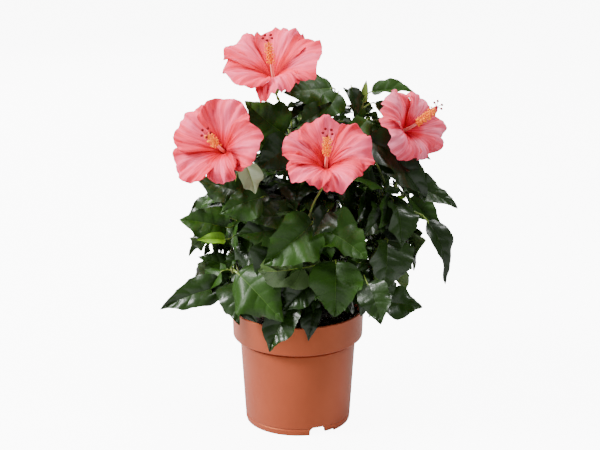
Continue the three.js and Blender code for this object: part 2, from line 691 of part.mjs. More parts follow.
// Leaves that touch can close off a small hollow. Only the outer skin of a solid is kept.
function outerSkin(mesh) {
  const parent = Array.from({ length: mesh.vertProperties.length / 3 }, (_, i) => i);
  const find = (i) => {
    while (parent[i] !== i) {
      parent[i] = parent[parent[i]];
      i = parent[i];
    }
    return i;
  };
  const corners = mesh.triVerts;
  for (let k = 0; k < corners.length; k += 3) {
    parent[find(corners[k])] = find(corners[k + 1]);
    parent[find(corners[k + 1])] = find(corners[k + 2]);
  }
  const counts = new Map();
  for (let k = 0; k < corners.length; k += 3) {
    const skin = find(corners[k]);
    counts.set(skin, (counts.get(skin) || 0) + 1);
  }
  const largest = [...counts].sort((a, b) => b[1] - a[1])[0][0];
  const kept = [];
  for (let k = 0; k < corners.length; k += 3) {
    if (find(corners[k]) === largest) {
      kept.push(corners[k], corners[k + 1], corners[k + 2]);
    }
  }
  return kept;
}

function placed(name, solid, material) {
  const mesh = solid.getMesh();
  const geometry = new THREE.BufferGeometry();
  geometry.setAttribute('position', new THREE.BufferAttribute(new Float32Array(mesh.vertProperties), 3));
  geometry.setIndex(outerSkin(mesh));
  geometry.computeVertexNormals();
  const node = new THREE.Mesh(geometry, material);
  node.name = name;
  return node;
}

const plant = new THREE.Group();
plant.add(placed('pot', potSolid(), terracotta));
plant.add(placed('compost', compostSolid(), earth));
plant.add(placed('trunk', trunkSolid(), bark));
for (const mass of masses) {
  if (mass.bough) {
    plant.add(placed(`bough_${mass.name}`, boughSolid(mass), bark));
  }
  plant.add(placed(`foliage_${mass.name}`, foliageSolid(mass), leafGreen));
}
for (const bloom of blooms) {
  plant.add(placed(bloom.name, bloomSolid(bloom), pink));
}

export default plant;
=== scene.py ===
# %% [markdown]
# # A hibiscus in flower, in its nursery pot
# The real thing is a young potted shrub, about 40 cm tall with its pot: a round head of glossy
# toothed leaves, four open pink flowers with a deep red eye, and a plain terracotta-coloured
# plastic pot. This lesson dresses its plain solids, cell by cell. It grows the same plant again
# by the same rule, so every leaf lands where its plain solid lies, and then gives each piece its
# real shape and finish. Lengths are millimetres, as a grower measures them, and turn into metres
# only when a mesh is made, because Blender works in metres here.

# %% The plain solids come in first
import json
import math

import bpy
import numpy as np
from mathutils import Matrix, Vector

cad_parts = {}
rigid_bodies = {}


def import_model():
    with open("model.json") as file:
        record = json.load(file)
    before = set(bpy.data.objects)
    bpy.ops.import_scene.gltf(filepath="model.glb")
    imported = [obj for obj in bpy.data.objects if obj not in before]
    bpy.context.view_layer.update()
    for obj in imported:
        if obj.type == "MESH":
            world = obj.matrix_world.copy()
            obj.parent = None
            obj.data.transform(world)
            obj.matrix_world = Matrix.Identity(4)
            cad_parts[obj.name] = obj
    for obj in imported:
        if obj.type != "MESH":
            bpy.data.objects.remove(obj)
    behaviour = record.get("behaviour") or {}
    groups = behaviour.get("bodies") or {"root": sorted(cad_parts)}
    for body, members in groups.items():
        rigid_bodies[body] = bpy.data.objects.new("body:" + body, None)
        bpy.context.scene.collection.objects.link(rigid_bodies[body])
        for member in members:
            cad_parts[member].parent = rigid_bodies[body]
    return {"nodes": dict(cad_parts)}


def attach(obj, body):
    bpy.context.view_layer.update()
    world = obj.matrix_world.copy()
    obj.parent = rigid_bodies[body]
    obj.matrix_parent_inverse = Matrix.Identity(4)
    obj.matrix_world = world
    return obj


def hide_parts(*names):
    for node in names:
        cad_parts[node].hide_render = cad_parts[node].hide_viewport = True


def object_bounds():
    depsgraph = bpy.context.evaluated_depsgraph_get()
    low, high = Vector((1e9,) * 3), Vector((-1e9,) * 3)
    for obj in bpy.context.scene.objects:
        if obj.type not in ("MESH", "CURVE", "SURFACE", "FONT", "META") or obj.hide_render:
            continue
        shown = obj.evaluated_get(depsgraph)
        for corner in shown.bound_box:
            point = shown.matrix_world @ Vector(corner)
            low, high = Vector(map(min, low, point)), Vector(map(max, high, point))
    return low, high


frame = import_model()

for leftover in [o for o in bpy.data.objects if o.name in ("Cube", "Light", "Camera")]:
    bpy.data.objects.remove(leftover)
solid_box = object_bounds()
MM = 0.001
print("plain solids:", len(frame["nodes"]))

# %% [markdown]
# ## The camera
# The plant was photographed from the front with a long lens, a little above its head, so the pot's
# rim shows as a shallow ellipse and the sides hardly converge. A camera could be moved by hand
# until the picture matches. It was worked out from the pot instead, because its rim, foot and
# height are known sizes: they fix how far away the lens was and how far it looked down.

# %% The camera
camera_place = (0.0021, -1.596, 0.702)
looks_down = 17.45
lens_length = 103.35

lens = bpy.data.cameras.new("camera")
lens.lens = lens_length
lens.sensor_width = 36
camera = bpy.data.objects.new("camera", lens)
camera.location = camera_place
camera.rotation_euler = (math.radians(90 - looks_down), 0, 0)
bpy.context.scene.collection.objects.link(camera)
bpy.context.scene.camera = camera
print("camera stands", round(math.hypot(*camera_place[:2]), 2), "m away")

# %% [markdown]
# ## Light
# In the picture the plant stands under a bright soft light from the upper left, and the hollows
# between its leaves go nearly black. An even white sky alone would fill those hollows, so it stays
# faint. Glossy leaves only look glossy when they have something bright to mirror, so the light comes
# from four panels, as in a studio: a key on the left, a weaker fill on the right, one above and one
# behind.

# %% Light
plant_middle = (0, 0, 0.2)
faint_sky = 0.2
# Where each panel stands and its two sides, in metres, and its watts
panels = {
    "key": ((-1.48, -0.52, 1.32), (0.6, 0.6), 98),
    "fill": ((1.05, -0.95, 2.0), (0.6, 0.6), 40),
    "top": ((0.2, 0.4, 1.7), (1.0, 0.7), 26),
    "rear": ((-0.7, 1.5, 0.8), (1.2, 1.0), 24),
}


def light_panel(name, place, size, watts):
    """A broad soft lamp that faces the plant."""
    lamp = bpy.data.lights.new(name, "AREA")
    lamp.shape = "RECTANGLE"
    lamp.size, lamp.size_y = size
    lamp.energy = watts
    panel = bpy.data.objects.new(name, lamp)
    panel.location = place
    toward = np.array(plant_middle) - np.array(place)
    tilt = math.atan2(math.hypot(toward[0], toward[1]), -toward[2])
    panel.rotation_euler = (tilt, 0, math.atan2(toward[1], toward[0]) - math.pi / 2)
    bpy.context.scene.collection.objects.link(panel)


for name, (place, size, watts) in panels.items():
    light_panel(name, place, size, watts)
sky = bpy.context.scene.world or bpy.data.worlds.new("sky")
bpy.context.scene.world = sky
sky.use_nodes = True
background = sky.node_tree.nodes["Background"]
background.inputs["Color"].default_value = (1, 1, 1, 1)
background.inputs["Strength"].default_value = faint_sky
print("light panels:", len(panels))

# %% [markdown]
# ## The floor
# The plant stands on plain white. The floor isn't part of it. A stronger lamp would whiten it, and
# wash out the petals too. So it is a grey that glows, but only to the lens: a light-path node tells
# the lens's own rays from all others, and the floor lights nothing.

# %% The floor
floor_half = 9
floor_glow = 9


def node_material(name, colour, roughness):
    """A material with one shader; the shader and the node tree come back for more work."""
    material = bpy.data.materials.new(name)
    material.use_nodes = True
    shader = material.node_tree.nodes["Principled BSDF"]
    shader.inputs["Base Color"].default_value = (*colour, 1)
    shader.inputs["Roughness"].default_value = roughness
    return material, shader, material.node_tree


floor_mesh = bpy.data.meshes.new("floor")
floor_mesh.from_pydata(
    [(x * floor_half, y * floor_half, 0) for x, y in ((-1, -1), (1, -1), (1, 1), (-1, 1))],
    [], [(0, 1, 2, 3)])
floor = bpy.data.objects.new("floor", floor_mesh)
bpy.context.scene.collection.objects.link(floor)
floor_material, shader, tree = node_material("floor", (0.5, 0.5, 0.5), 0.9)
seen_by_lens = tree.nodes.new("ShaderNodeLightPath")
glow = tree.nodes.new("ShaderNodeMath")
glow.operation = "MULTIPLY"
glow.inputs[1].default_value = floor_glow
shader.inputs["Emission Color"].default_value = (1, 1, 1, 1)
tree.links.new(seen_by_lens.outputs["Is Camera Ray"], glow.inputs[0])
tree.links.new(glow.outputs[0], shader.inputs["Emission Strength"])
floor_mesh.materials.append(floor_material)
print("the floor is", 2 * floor_half, "m across")

# %% [markdown]
# ## The rule that grows the plant
# A shrub isn't drawn leaf by leaf. A short rule grows it: a trunk, a bough to the foot of each
# mass of leaves, a stem with two twigs in each mass, and leaves that take the places still free,
# each turned 137.5 degrees on from the last, as on the real plant. The plain solids were grown by
# this rule, so it is written again here with the same numbers, and the same seeds give the same
# draws. First come the small tools: directions, turns and seeded numbers.

# %% Directions, turns and seeded numbers
UP = np.array([0.0, 0.0, 1.0])


def vec(*p):
    return np.array(p, float)


def unit(v):
    return v / math.sqrt(v @ v)


def turned(v, axis, angle):
    """A direction turned about an axis, by an angle in radians."""
    c, s = math.cos(angle), math.sin(angle)
    return v * c + np.cross(axis, v) * s + axis * ((axis @ v) * (1 - c))


def heading(turn, rise):
    """The direction with this turn about the upright and this rise, in degrees."""
    a, b = math.radians(turn), math.radians(rise)
    return vec(math.cos(b) * math.cos(a), math.cos(b) * math.sin(a), math.sin(b))


def across(v, axis):
    """The part of a direction that is square to an axis."""
    return unit(v - axis * (v @ axis))


def radial(axis, degrees):
    """A direction square to an axis, turned about it."""
    side = vec(0, 1, 0) if abs(axis[1]) < 0.9 else vec(1, 0, 0)
    return turned(unit(np.cross(axis, side)), axis, math.radians(degrees))


class Draws:
    """Seeded numbers, the same on every run."""

    FACTOR, SHIFT, RANGE = 1664525, 1013904223, 2 ** 32

    def __init__(self, seed):
        self.state = seed % self.RANGE

    def next(self):
        """A number from 0 to 1."""
        self.state = (self.state * self.FACTOR + self.SHIFT) % self.RANGE
        return self.state / self.RANGE

    def spread(self, k):
        """A number from -k to k."""
        return (self.next() * 2 - 1) * k


print("first draw of seed 1:", round(Draws(1).next(), 4))

# %% [markdown]
# ## Paths
# Every stem, bough and stalk follows a path: a row of points. A shoot bends upward as it grows and
# wanders a little. A bough is held at both ends, so a smooth curve carries it from the trunk to
# the foot of its mass. Blender has curve objects for this, but the rule has to know where each
# point lies before it can hang a leaf there, so the points are worked out in code.

# %% Paths
STEM_STEPS = 6
WOBBLE = 0.06
STRAIGHT_END = 1.2
CURVE_REACH = 0.36


def shoot_path(foot, head, length, lift, steps, draws):
    """A path that bends upward by lift and wanders a little."""
    path = [foot]
    h = head
    for _ in range(steps):
        stray = vec(draws.spread(WOBBLE), draws.spread(WOBBLE), draws.spread(WOBBLE))
        h = unit(h + UP * (lift / STEM_STEPS) + stray)
        path.append(path[-1] + h * (length / steps))
    return path


def along(path, t):
    """The point and the direction at a share t of a path."""
    s = min(0.999, t) * (len(path) - 1)
    i = min(int(s), len(path) - 2)
    return path[i] + (path[i + 1] - path[i]) * (s - i), unit(path[i + 1] - path[i])


def distance(a, b):
    return math.sqrt((b - a) @ (b - a))


def pulled_curve(a, b, c, d, t):
    """The point at a share t of a curve from a to d, with b and c pulling on it."""
    k = 1 - t
    return a * k ** 3 + b * (3 * k * k * t) + c * (3 * k * t * t) + d * t ** 3


def curved_path(start, start_way, end, end_way, steps):
    """A curve between two places, with the directions at its ends and short straight ends."""
    far = distance(start, end) * CURVE_REACH
    a = start + start_way * STRAIGHT_END
    d = end - end_way * STRAIGHT_END
    b, c = a + start_way * far, d - end_way * far
    return [start, *(pulled_curve(a, b, c, d, i / steps) for i in range(steps + 1)), end]


def evenly(path, count):
    """Points spread evenly over a path."""
    return [along(path, (i + 0.5) / count)[0] for i in range(count)]


def between(a, b, count):
    """Points on the straight line between two others."""
    return [a + (b - a) * ((i + 1) / (count + 1)) for i in range(count)]


print("a shoot of 60 mm has", len(shoot_path(vec(0, 0, 0), UP, 60, 0.3, STEM_STEPS, Draws(1))), "points")

# %% [markdown]
# ## What the photograph fixes
# Where each mass of leaves sits, the way its stem heads and the few leaves that draw the plant's
# outline were read from the photograph and turned into places in space through the camera above.
# Each outline leaf has the place where its blade starts, the place its tip reaches, and its
# breadth. The rear of the plant doesn't show, so its masses have no outline leaves of their own.

# %% The masses of leaves, the boughs' heights and the flowers
def mass(name, foot, turn, rise, length, lift, leaves, first, leaf, droop, seed, outline=(), bud=0):
    return dict(name=name, foot=vec(*foot), turn=turn, rise=rise, length=length, lift=lift,
                leaves=leaves, first=first, leaf=leaf, droop=droop, seed=seed, outline=outline, bud=bud)


# A mass's row: its name, where its stem starts, the stem's turn and rise, its length, how hard it
# bends upward, how many free leaves it carries, the turn of the first, a leaf's length, its droop
# and the seed. An outline leaf's row: the start of its blade, its tip and its breadth
masses = [
    mass("crown", (6, 6, 225), -15, 76, 98, 0.3, 10, 60, 56, 28, 11,
         [((33, -2, 337), (-12, -20, 333), 0.78), ((25, -20, 320), (0, -36, 308), 0.75)]),
    mass("front", (6, -36, 180), -78, 50, 62, 0.7, 8, 150, 56, 30, 12,
         [((23, -60, 216), (66, -84, 197), 0.82), ((14, -74, 226), (-30, -98, 192), 0.78)]),
    mass("low_front", (12, -34, 136), -65, 44, 52, 0.4, 8, 40, 52, 15, 13,
         [((36, -66, 185), (34, -84, 135), 0.88), ((-5, -70, 148), (-29, -82, 102), 0.6),
          ((15, -52, 142), (13, -72, 107), 0.5)]),
    mass("left", (-40, -18, 188), 215, 55, 66, 0.5, 8, 54, 56, 28, 14,
         [((-67, -45, 212), (-110, -52, 226), 0.75), ((-68, -63, 206), (-94, -74, 209), 0.42),
          ((-33, -62, 247), (-73, -78, 240), 0.75), ((-54, -40, 245), (-94, -42, 260), 0.72)]),
    mass("low_left", (-38, -28, 138), 215, 38, 44, 0.4, 7, 200, 56, 15, 15,
         [((-57, -66, 174), (-11, -95, 140), 0.8), ((-71, -45, 153), (-134, -52, 139), 0.62),
          ((-58, -15, 159), (-96, -8, 172), 0.55)]),
    mass("upper_left", (-14, 10, 235), 300, 76, 62, 0.3, 8, 0, 56, 28, 16,
         [((-13, -10, 294), (-51, -22, 326), 0.82), ((-5, -20, 289), (-37, -35, 264), 0.8)]),
    mass("right", (50, -6, 190), -6, 44, 66, 0.5, 7, 150, 60, 30, 17,
         [((113, 22, 252), (74, 30, 255), 0.7), ((102, -10, 249), (154, -20, 223), 0.5),
          ((90, -35, 236), (98, -58, 197), 0.68), ((108, -2, 228), (138, -4, 193), 0.6),
          ((124, -20, 211), (148, -32, 150), 0.55)]),
    mass("low_right", (44, -26, 138), -38, 40, 60, 0.4, 6, 10, 56, 15, 18,
         [((85, -46, 200), (81, -66, 151), 0.9), ((84, -45, 137), (119, -50, 137), 0.85),
          ((65, -83, 169), (81, -103, 138), 0.75)]),
    mass("upper_right", (32, 10, 238), -12, 60, 88, 0.5, 9, 60, 56, 25, 19,
         [((57, 5, 304), (43, 0, 336), 0.55), ((71, 22, 328), (113, 18, 331), 0.6),
          ((65, 20, 290), (128, 28, 256), 0.6)], bud=22),
    mass("back_left", (-34, 34, 190), 135, 48, 80, 0.5, 9, 40, 62, 25, 20),
    mass("back", (4, 38, 218), 90, 62, 84, 0.5, 10, 80, 60, 25, 21),
    mass("back_right", (38, 34, 190), 45, 48, 80, 0.5, 9, 10, 62, 25, 22),
    mass("low_back", (0, 36, 140), 90, 34, 60, 0.5, 8, 30, 58, 18, 23),
    mass("low_back_left", (-42, 20, 140), 160, 34, 60, 0.5, 9, 90, 58, 18, 24),
    mass("low_back_right", (42, 20, 140), 20, 34, 60, 0.5, 9, 150, 58, 18, 25),
]
# How high on the trunk each bough starts
bough_heights = {
    "front": 148, "low_front": 122, "left": 152, "low_left": 117, "upper_left": 200, "right": 156,
    "low_right": 117, "upper_right": 192, "back_left": 160, "back": 178, "back_right": 165,
    "low_back": 122, "low_back_left": 129, "low_back_right": 125,
}


def bloom(name, on, throat, faces, radius, first, fold, ruffle, seed):
    return dict(name=name, on=on, throat=vec(*throat), faces=unit(vec(*faces)), radius=radius,
                first=first, fold=fold, ruffle=ruffle, seed=seed)


# A flower's row: its name, the mass it grows on, its throat, the way it faces, its radius, the turn
# of its first petal, how far its petals fold back, how deep they ruffle, and the seed
blooms = [
    bloom("bloom_top", "upper_left", (-23, -15, 351), (-0.12, -0.45, 0.9), 48, 20, 0.1, 0.07, 41),
    bloom("bloom_left", "left", (-69, -60, 291), (-0.3, -0.8, 0.5), 45, 5, 0.08, 0.07, 42),
    bloom("bloom_front", "front", (26, -70, 279), (0.02, -0.62, 0.78), 46, 50, 0.1, 0.07, 43),
    bloom("bloom_right", "right", (101, -20, 300), (0.62, -0.62, 0.38), 40, 30, 0.2, 0.08, 44),
]
print("masses:", len(masses), " boughs:", len(bough_heights), " open flowers:", len(blooms))

# %% [markdown]
# ## A leaf's surface
# A hibiscus leaf is broad near its stalk and drawn out to a point, folded along its midrib, bent
# down along its length and waved at its edges. One formula gives any point of it: t runs from the
# stalk to the tip and s from edge to edge. A formula serves better than a modelled leaf that is
# copied about, since no two leaves then come out alike.

# %% A leaf's surface
WAVE_HEIGHT, WAVES, WAVE_LAG = 0.12, 1.6, 1.3


def half_width(t):
    """Half the breadth of a blade as a share of its length, before its breadth is set."""
    return 0.5 * np.maximum(0, np.sin(math.pi * np.asarray(t, float) ** 0.62)) ** 0.8


def blade_lift(leaf, t):
    """The way the blade's upper face looks at t, one row a point."""
    bent = leaf["bend"] * np.asarray(t, float)
    return np.multiply.outer(np.cos(bent), leaf["face"]) + np.multiply.outer(np.sin(bent), leaf["along"])


def blade_points(leaf, t, s):
    """Points of a blade: t is 0 at its stalk and 1 at its tip, and s is -1 and 1 at its edges."""
    t, s = np.asarray(t, float), np.asarray(s, float)
    bent = leaf["bend"] * t
    run = leaf["size"] / leaf["bend"]
    side = np.cross(leaf["along"], leaf["face"])
    w = half_width(t) * leaf["size"] * leaf["broad"]
    lag = np.where(s > 0, WAVE_LAG, 0)
    wave = WAVE_HEIGHT * np.sin(2 * math.pi * WAVES * t + leaf["phase"] + lag) * np.abs(s)
    points = leaf["joint"] + np.multiply.outer(run * np.sin(bent), leaf["along"])
    points = points - np.multiply.outer(run * (1 - np.cos(bent)), leaf["face"])
    points = points + np.multiply.outer(w * s * math.cos(leaf["fold"]), side)
    return points + blade_lift(leaf, t) * (w * (np.abs(s) * math.sin(leaf["fold"]) + wave))[..., None]


test_t = np.repeat(0.05 + np.arange(10) * 0.105, 7)
test_s = np.tile(np.arange(-3, 4) / 3, 10)


def leaf_tests(leaf):
    """Seventy points of a blade, to test whether its place is free."""
    return blade_points(leaf, test_t, test_s)


print("test points on a blade:", len(test_t))

# %% [markdown]
# ## Where a leaf may go
# On the real plant leaves turn to the light and hardly touch. The rule does the same with a list
# of the room already taken: each point on it keeps a distance, and a new leaf that comes nearer
# tries other turns, droops and sizes, and is left out if none fits.

# %% Where a leaf may go
LOWEST_OVER_POT, LOWEST_BESIDE = 114, 124
POT_REACH = 58
WIDEST_ROOM = 12
room_taken = dict(points=np.zeros((0, 3)), room=np.zeros(0), owner=[], limb=np.zeros(0, bool))


def take(points, room, owner, limb=False):
    """Points that keep everything else this far away."""
    points = np.reshape(points, (-1, 3))
    room_taken["points"] = np.vstack([room_taken["points"], points])
    room_taken["room"] = np.append(room_taken["room"], np.full(len(points), float(room)))
    room_taken["owner"] += [owner] * len(points)
    room_taken["limb"] = np.append(room_taken["limb"], np.full(len(points), limb))


def is_free(points, owner, share=1.0):
    """A limb lets its own stalks in and keeps its own blades at half its room."""
    points = np.reshape(points, (-1, 3))
    low, high = points.min(0) - WIDEST_ROOM, points.max(0) + WIDEST_ROOM
    near = np.flatnonzero(((room_taken["points"] > low) & (room_taken["points"] < high)).all(1))
    own = room_taken["limb"][near] & np.array([room_taken["owner"][i] == owner for i in near], bool)
    if share < 1:
        near = near[~own]
        own = np.zeros(len(near), bool)
    reach = room_taken["room"][near] * np.where(own, 0.5, share)
    away = points[:, None, :] - room_taken["points"][near][None, :, :]
    return not ((away * away).sum(2) < reach * reach).any()


def too_low(points):
    """Whether any of the points is down by the pot's rim, or below it beside the pot."""
    points = np.reshape(points, (-1, 3))
    over_pot = np.hypot(points[:, 0], points[:, 1]) < POT_REACH
    return bool((points[:, 2] < np.where(over_pot, LOWEST_OVER_POT, LOWEST_BESIDE)).any())


print("room taken so far:", len(room_taken["points"]))

# %% [markdown]
# ## Stems, trunk and boughs
# The stems come first, because all else grows on them. The trunk rises from the pot's middle and
# leans over to the crown, and each bough leaves it at its own height and ends just short of the
# stem it carries, as close as the plain solids may stand.

# %% Stems, trunk and boughs
GAP = 0.3
SOIL_LEVEL = 108
BURIED = 4
TRUNK_FOOT, TRUNK_TIP, TRUNK_FLARE = 6.2, 2.2, 3.2
LIMB_ROOM, TRUNK_ROOM = 4.6, 8
BOUGH_ROOM = LIMB_ROOM + 1
BOUGH_LIFT = 0.35

# Each use of a seed multiplies it by a number of its own, so that its draws are its own too
for m in masses:
    m["draws"] = Draws(m["seed"] * 7919)
    head = heading(m["turn"], m["rise"])
    m["stem"] = shoot_path(m["foot"], head, m["length"], m["lift"], STEM_STEPS, m["draws"])
    m["head"] = unit(m["stem"][1] - m["stem"][0])
    m["grown"], m["twigs"], m["shoots"], m["tuft"] = [], [], [], []
    take(evenly(m["stem"], 20), LIMB_ROOM, m["name"], True)

crown = masses[0]
crown_foot = crown["stem"][0]
trunk_path = curved_path(vec(0, 0, SOIL_LEVEL - BURIED), UP, crown_foot - crown["head"] * GAP,
                         crown["head"], 9)
take(trunk_path, TRUNK_ROOM, "trunk")


def trunk_radius(z):
    u = max(0, (z - SOIL_LEVEL) / (crown_foot[2] - SOIL_LEVEL))
    return TRUNK_TIP + (TRUNK_FOOT - TRUNK_TIP) * (1 - u) + TRUNK_FLARE * math.exp(-u * 16)


def trunk_at(height):
    j = next(i for i, p in enumerate(trunk_path) if p[2] > height)
    low = trunk_path[j - 1]
    return low + (trunk_path[j] - low) * ((height - low[2]) / (trunk_path[j][2] - low[2]))


for m in masses:
    if m["name"] in bough_heights:
        start = trunk_at(bough_heights[m["name"]])
        end = m["stem"][0] - m["head"] * GAP
        out = end - start
        out[2] = 0
        m["bough"] = curved_path(start, unit(unit(out) + UP * BOUGH_LIFT), end, m["head"], 4)
        take(evenly(m["bough"], 14), BOUGH_ROOM, "bough_" + m["name"])
print("trunk leans", np.round(trunk_path[-1][:2], 1), "mm by its tip")

# %% [markdown]
# ## The flowers' stalks, and the leaves of the outline
# Each flower keeps a cone of room for its petals before any leaf is placed, and the leaves of the
# outline come next, so that the free leaves fill in round both and never push them aside.

# %% The flowers' stalks, and the leaves of the outline
CALYX_LENGTH = 20
LEAF_ROOM, STALK_ROOM, PETAL_ROOM = 4.8, 4, 11
PETAL_CONE = 0.35
OUTLINE_BEND, OUTLINE_FOLD = math.radians(28), math.radians(14)
PLACES_ON_STEM = 40


def mass_named(name):
    return next(m for m in masses if m["name"] == name)


for b in blooms:
    stem = mass_named(b["on"])["stem"]
    way = unit(stem[-1] - stem[-2])
    calyx_foot = b["throat"] - b["faces"] * CALYX_LENGTH
    b["stalk"] = curved_path(stem[-1] + way * GAP, way, calyx_foot, b["faces"], 4)
    take(evenly(b["stalk"], 12), LIMB_ROOM, b["name"])
    for turn in range(0, 360, 30):
        for share in (0.35, 0.7, 1):
            ring = b["throat"] + radial(b["faces"], turn) * (b["radius"] * share)
            take([ring + b["faces"] * (b["radius"] * PETAL_CONE * share)], PETAL_ROOM, b["name"])


def outline_leaf(path, row, index, draws):
    """Its blade runs between two places, and its stalk comes from the stem below."""
    start, tip, broad = vec(*row[0]), vec(*row[1]), row[2]

    def far(i):
        gone = along(path, i / PLACES_ON_STEM)[0] - start
        return gone @ gone

    near = min(range(1, PLACES_ON_STEM + 1), key=far)
    root = along(path, max(0.05, near / PLACES_ON_STEM - 0.115 - 0.055 * index))[0]
    way = unit(tip - start)
    r = max(1, math.hypot(start[0], start[1]))
    seen = vec(0.45 * start[0] / r, 0.45 * start[1] / r - 0.7, 0.6)
    face = turned(across(seen, way), way, draws.spread(0.3))
    side = np.cross(face, way)
    return dict(root=root, joint=start, along=turned(way, side, -OUTLINE_BEND / 2),
                face=turned(face, side, -OUTLINE_BEND / 2), size=distance(start, tip) * 1.02,
                broad=broad * 1.05, bend=OUTLINE_BEND, fold=OUTLINE_FOLD, phase=draws.spread(math.pi))


def keep_leaf(m, leaf):
    m["grown"].append(leaf)
    take(leaf_tests(leaf), LEAF_ROOM, m["name"])
    take(between(leaf["root"], leaf["joint"], 6), STALK_ROOM, m["name"], True)


for m in masses:
    for index, row in enumerate(m["outline"]):
        keep_leaf(m, outline_leaf(m["stem"], row, index, m["draws"]))
print("leaves of the outline:", sum(len(m["grown"]) for m in masses))

# %% [markdown]
# ## Twigs and free leaves
# Each stem sends out two twigs where they have room. Then every stem and twig carries leaves up
# its length. A free leaf's stalk opens away from its stem, and its blade turns outward and up.

# %% Twigs and free leaves
GOLDEN_TURN = 137.5
TWIG_OPENING, STALK_OPENING = 48, 58
TWIG_LIFT = 0.6
STALK_SHARE = 0.34
FREE_BREADTH = 0.74
# What a leaf tries before it is left out: a turn, an extra droop and a share of its size
TRIES = [(0, 0, 1), (24, 6, 1), (-24, -6, 1), (0, 18, 0.9), (48, 0, 0.88), (-48, 10, 0.88), (20, -22, 0.8),
         (-20, 28, 0.8), (75, 5, 0.75), (-75, 5, 0.75), (36, -10, 0.62), (-36, -10, 0.62), (110, 0, 0.6),
         (-110, 0, 0.6)]


def opened(axis, degrees, opening):
    """A direction that opens away from an axis by so many degrees."""
    angle = math.radians(opening)
    return unit(radial(axis, degrees) * math.sin(angle) + axis * math.cos(angle))


def grow_twig(m, path, at, turns, share, degrees):
    """A side shoot where one of the turns is free, or None."""
    point, axis = along(path, at)
    for turn in turns:
        head = opened(axis, degrees + turn, TWIG_OPENING)
        twig = shoot_path(point, head, m["length"] * share, TWIG_LIFT, 3, m["draws"])
        if is_free(evenly(twig, 8)[2:], m["name"]) and not too_low(twig):
            take(evenly(twig, 8), STALK_ROOM, m["name"], True)
            return twig
    return None


def free_leaf(root, axis, degrees, size, droop, draws):
    """A leaf whose blade turns outward and up, the more outward the lower it hangs."""
    stalk = opened(axis, degrees, STALK_OPENING)
    joint = root + stalk * (size * STALK_SHARE)
    r = max(1, math.hypot(joint[0], joint[1]))
    out = vec(joint[0] / r, joint[1] / r, 0)
    k = min(1, r / 60)
    tilt = math.radians(min(60, 30 + 24 * (joint[2] - 130) / 200))
    face = unit(out * (math.cos(tilt) * k) + UP * (math.sin(tilt) + (1 - k) * 0.5))
    face = unit(face + vec(draws.spread(0.28), draws.spread(0.28), draws.spread(0.15)))
    lean = stalk + out * 0.25 - UP * (math.tan(math.radians(droop)) * 0.9)
    bend = math.radians(30 + draws.spread(18))
    fold = math.radians(12 + draws.spread(8))
    return dict(root=root, joint=joint, along=across(lean, face), face=face, size=size,
                broad=FREE_BREADTH, bend=bend, fold=fold, phase=draws.spread(math.pi))


def grow_leaf(m, path, t, degrees, size, droop):
    """The first try that is free is kept. If none is, the place stays empty."""
    point, axis = along(path, t)
    for turn, extra, share in TRIES:
        leaf = free_leaf(point, axis, degrees + turn, size * share, droop + extra, m["draws"])
        tests = leaf_tests(leaf)
        stalk = between(leaf["root"], leaf["joint"], 5)[1:]
        if not too_low(tests) and is_free(tests, m["name"]) and is_free(stalk, m["name"], 0.7):
            keep_leaf(m, leaf)
            return


print("what a leaf may try:", len(TRIES))

# %% [markdown]
# ## The plant grows
# Every stem gets its twigs before any free leaf, so that no free leaf takes a twig's place. Leaves
# could be strewn at random. But on the plant they get smaller toward the tip, and each sits 137.5
# degrees on from the last, so that they shade each other least.

# %% The plant grows
for m in masses:
    for at in (0.3, 0.6):
        twig = grow_twig(m, m["stem"], at, (0, 75, -75), 0.42, m["first"] + GOLDEN_TURN * at * 5)
        if twig is not None:
            m["twigs"].append(twig)
for m in masses:
    draws = m["draws"]
    for k in range(m["leaves"]):
        t = 0.12 + 0.78 * k / (m["leaves"] - 1)
        young = max(0, (t - 0.55) / 0.45) ** 1.3
        size = m["leaf"] * (1 - 0.55 * young) * (0.92 + draws.next() * 0.16)
        droop = m["droop"] * (1.15 - 0.75 * t) + draws.spread(9)
        grow_leaf(m, m["stem"], t, m["first"] + GOLDEN_TURN * k, size, droop)
    for twig in m["twigs"]:
        for t in (0.6, 0.97):
            size = m["leaf"] * (0.95 - 0.3 * t) * (0.92 + draws.next() * 0.16)
            grow_leaf(m, twig, t, m["first"] + GOLDEN_TURN * 5 * t, size, m["droop"] * 0.7 + draws.spread(9))
print("leaves of the rule:", {m["name"]: len(m["grown"]) for m in masses},
      sum(len(m["grown"]) for m in masses))

# %% [markdown]
# ## Leaves that the plain solids leave out
# A few more leaves show plainly in the photograph: two long dark ones that hang below the flower on
# the right and hide its stalk, two at the crown, and two that have turned over, so that their pale
# undersides catch the light. The free leaves could be steered there by other seeds, but that would
# move all the rest. So these are placed like the leaves of the outline. A turned one only needs its
# face the other way round.

# %% Leaves that the plain solids leave out
# Which mass each is on, where its blade starts and ends and how broad it is, its green, and
# whether it shows its underside
# Each green is partly the leaf's own and partly painted light and shade: fresher where it is lit, deeper
# where it hangs in shade
more_leaves = [
    ("upper_right", ((64, -36, 295), (119, -12, 257), 0.52), "deep", False),
    ("right", ((74, -30, 284), (130, -24, 235), 0.55), "deep", False),
    ("crown", ((38, -10, 334), (23, -26, 311), 0.8), "fresh", False),
    ("upper_right", ((51, 2, 337), (57, -6, 305), 0.5), "deep", False),
    # This leaf's pale green is partly its paler underside and partly a painted silvery sheen
    ("left", ((-48, -60, 278), (-34, -68, 250), 0.66), "pale", True),
    ("low_front", ((23, -70, 184), (-50, -80, 170), 0.5), "mid", True)]
for name, row, green, turned_over in more_leaves:
    m = mass_named(name)
    leaf = outline_leaf(m["stem"], row, 0, Draws(m["seed"] * 31 + 5))
    leaf["green"] = green
    if turned_over:
        leaf["face"] = -leaf["face"]
    keep_leaf(m, leaf)
print("leaves added from the photograph:", len(more_leaves))

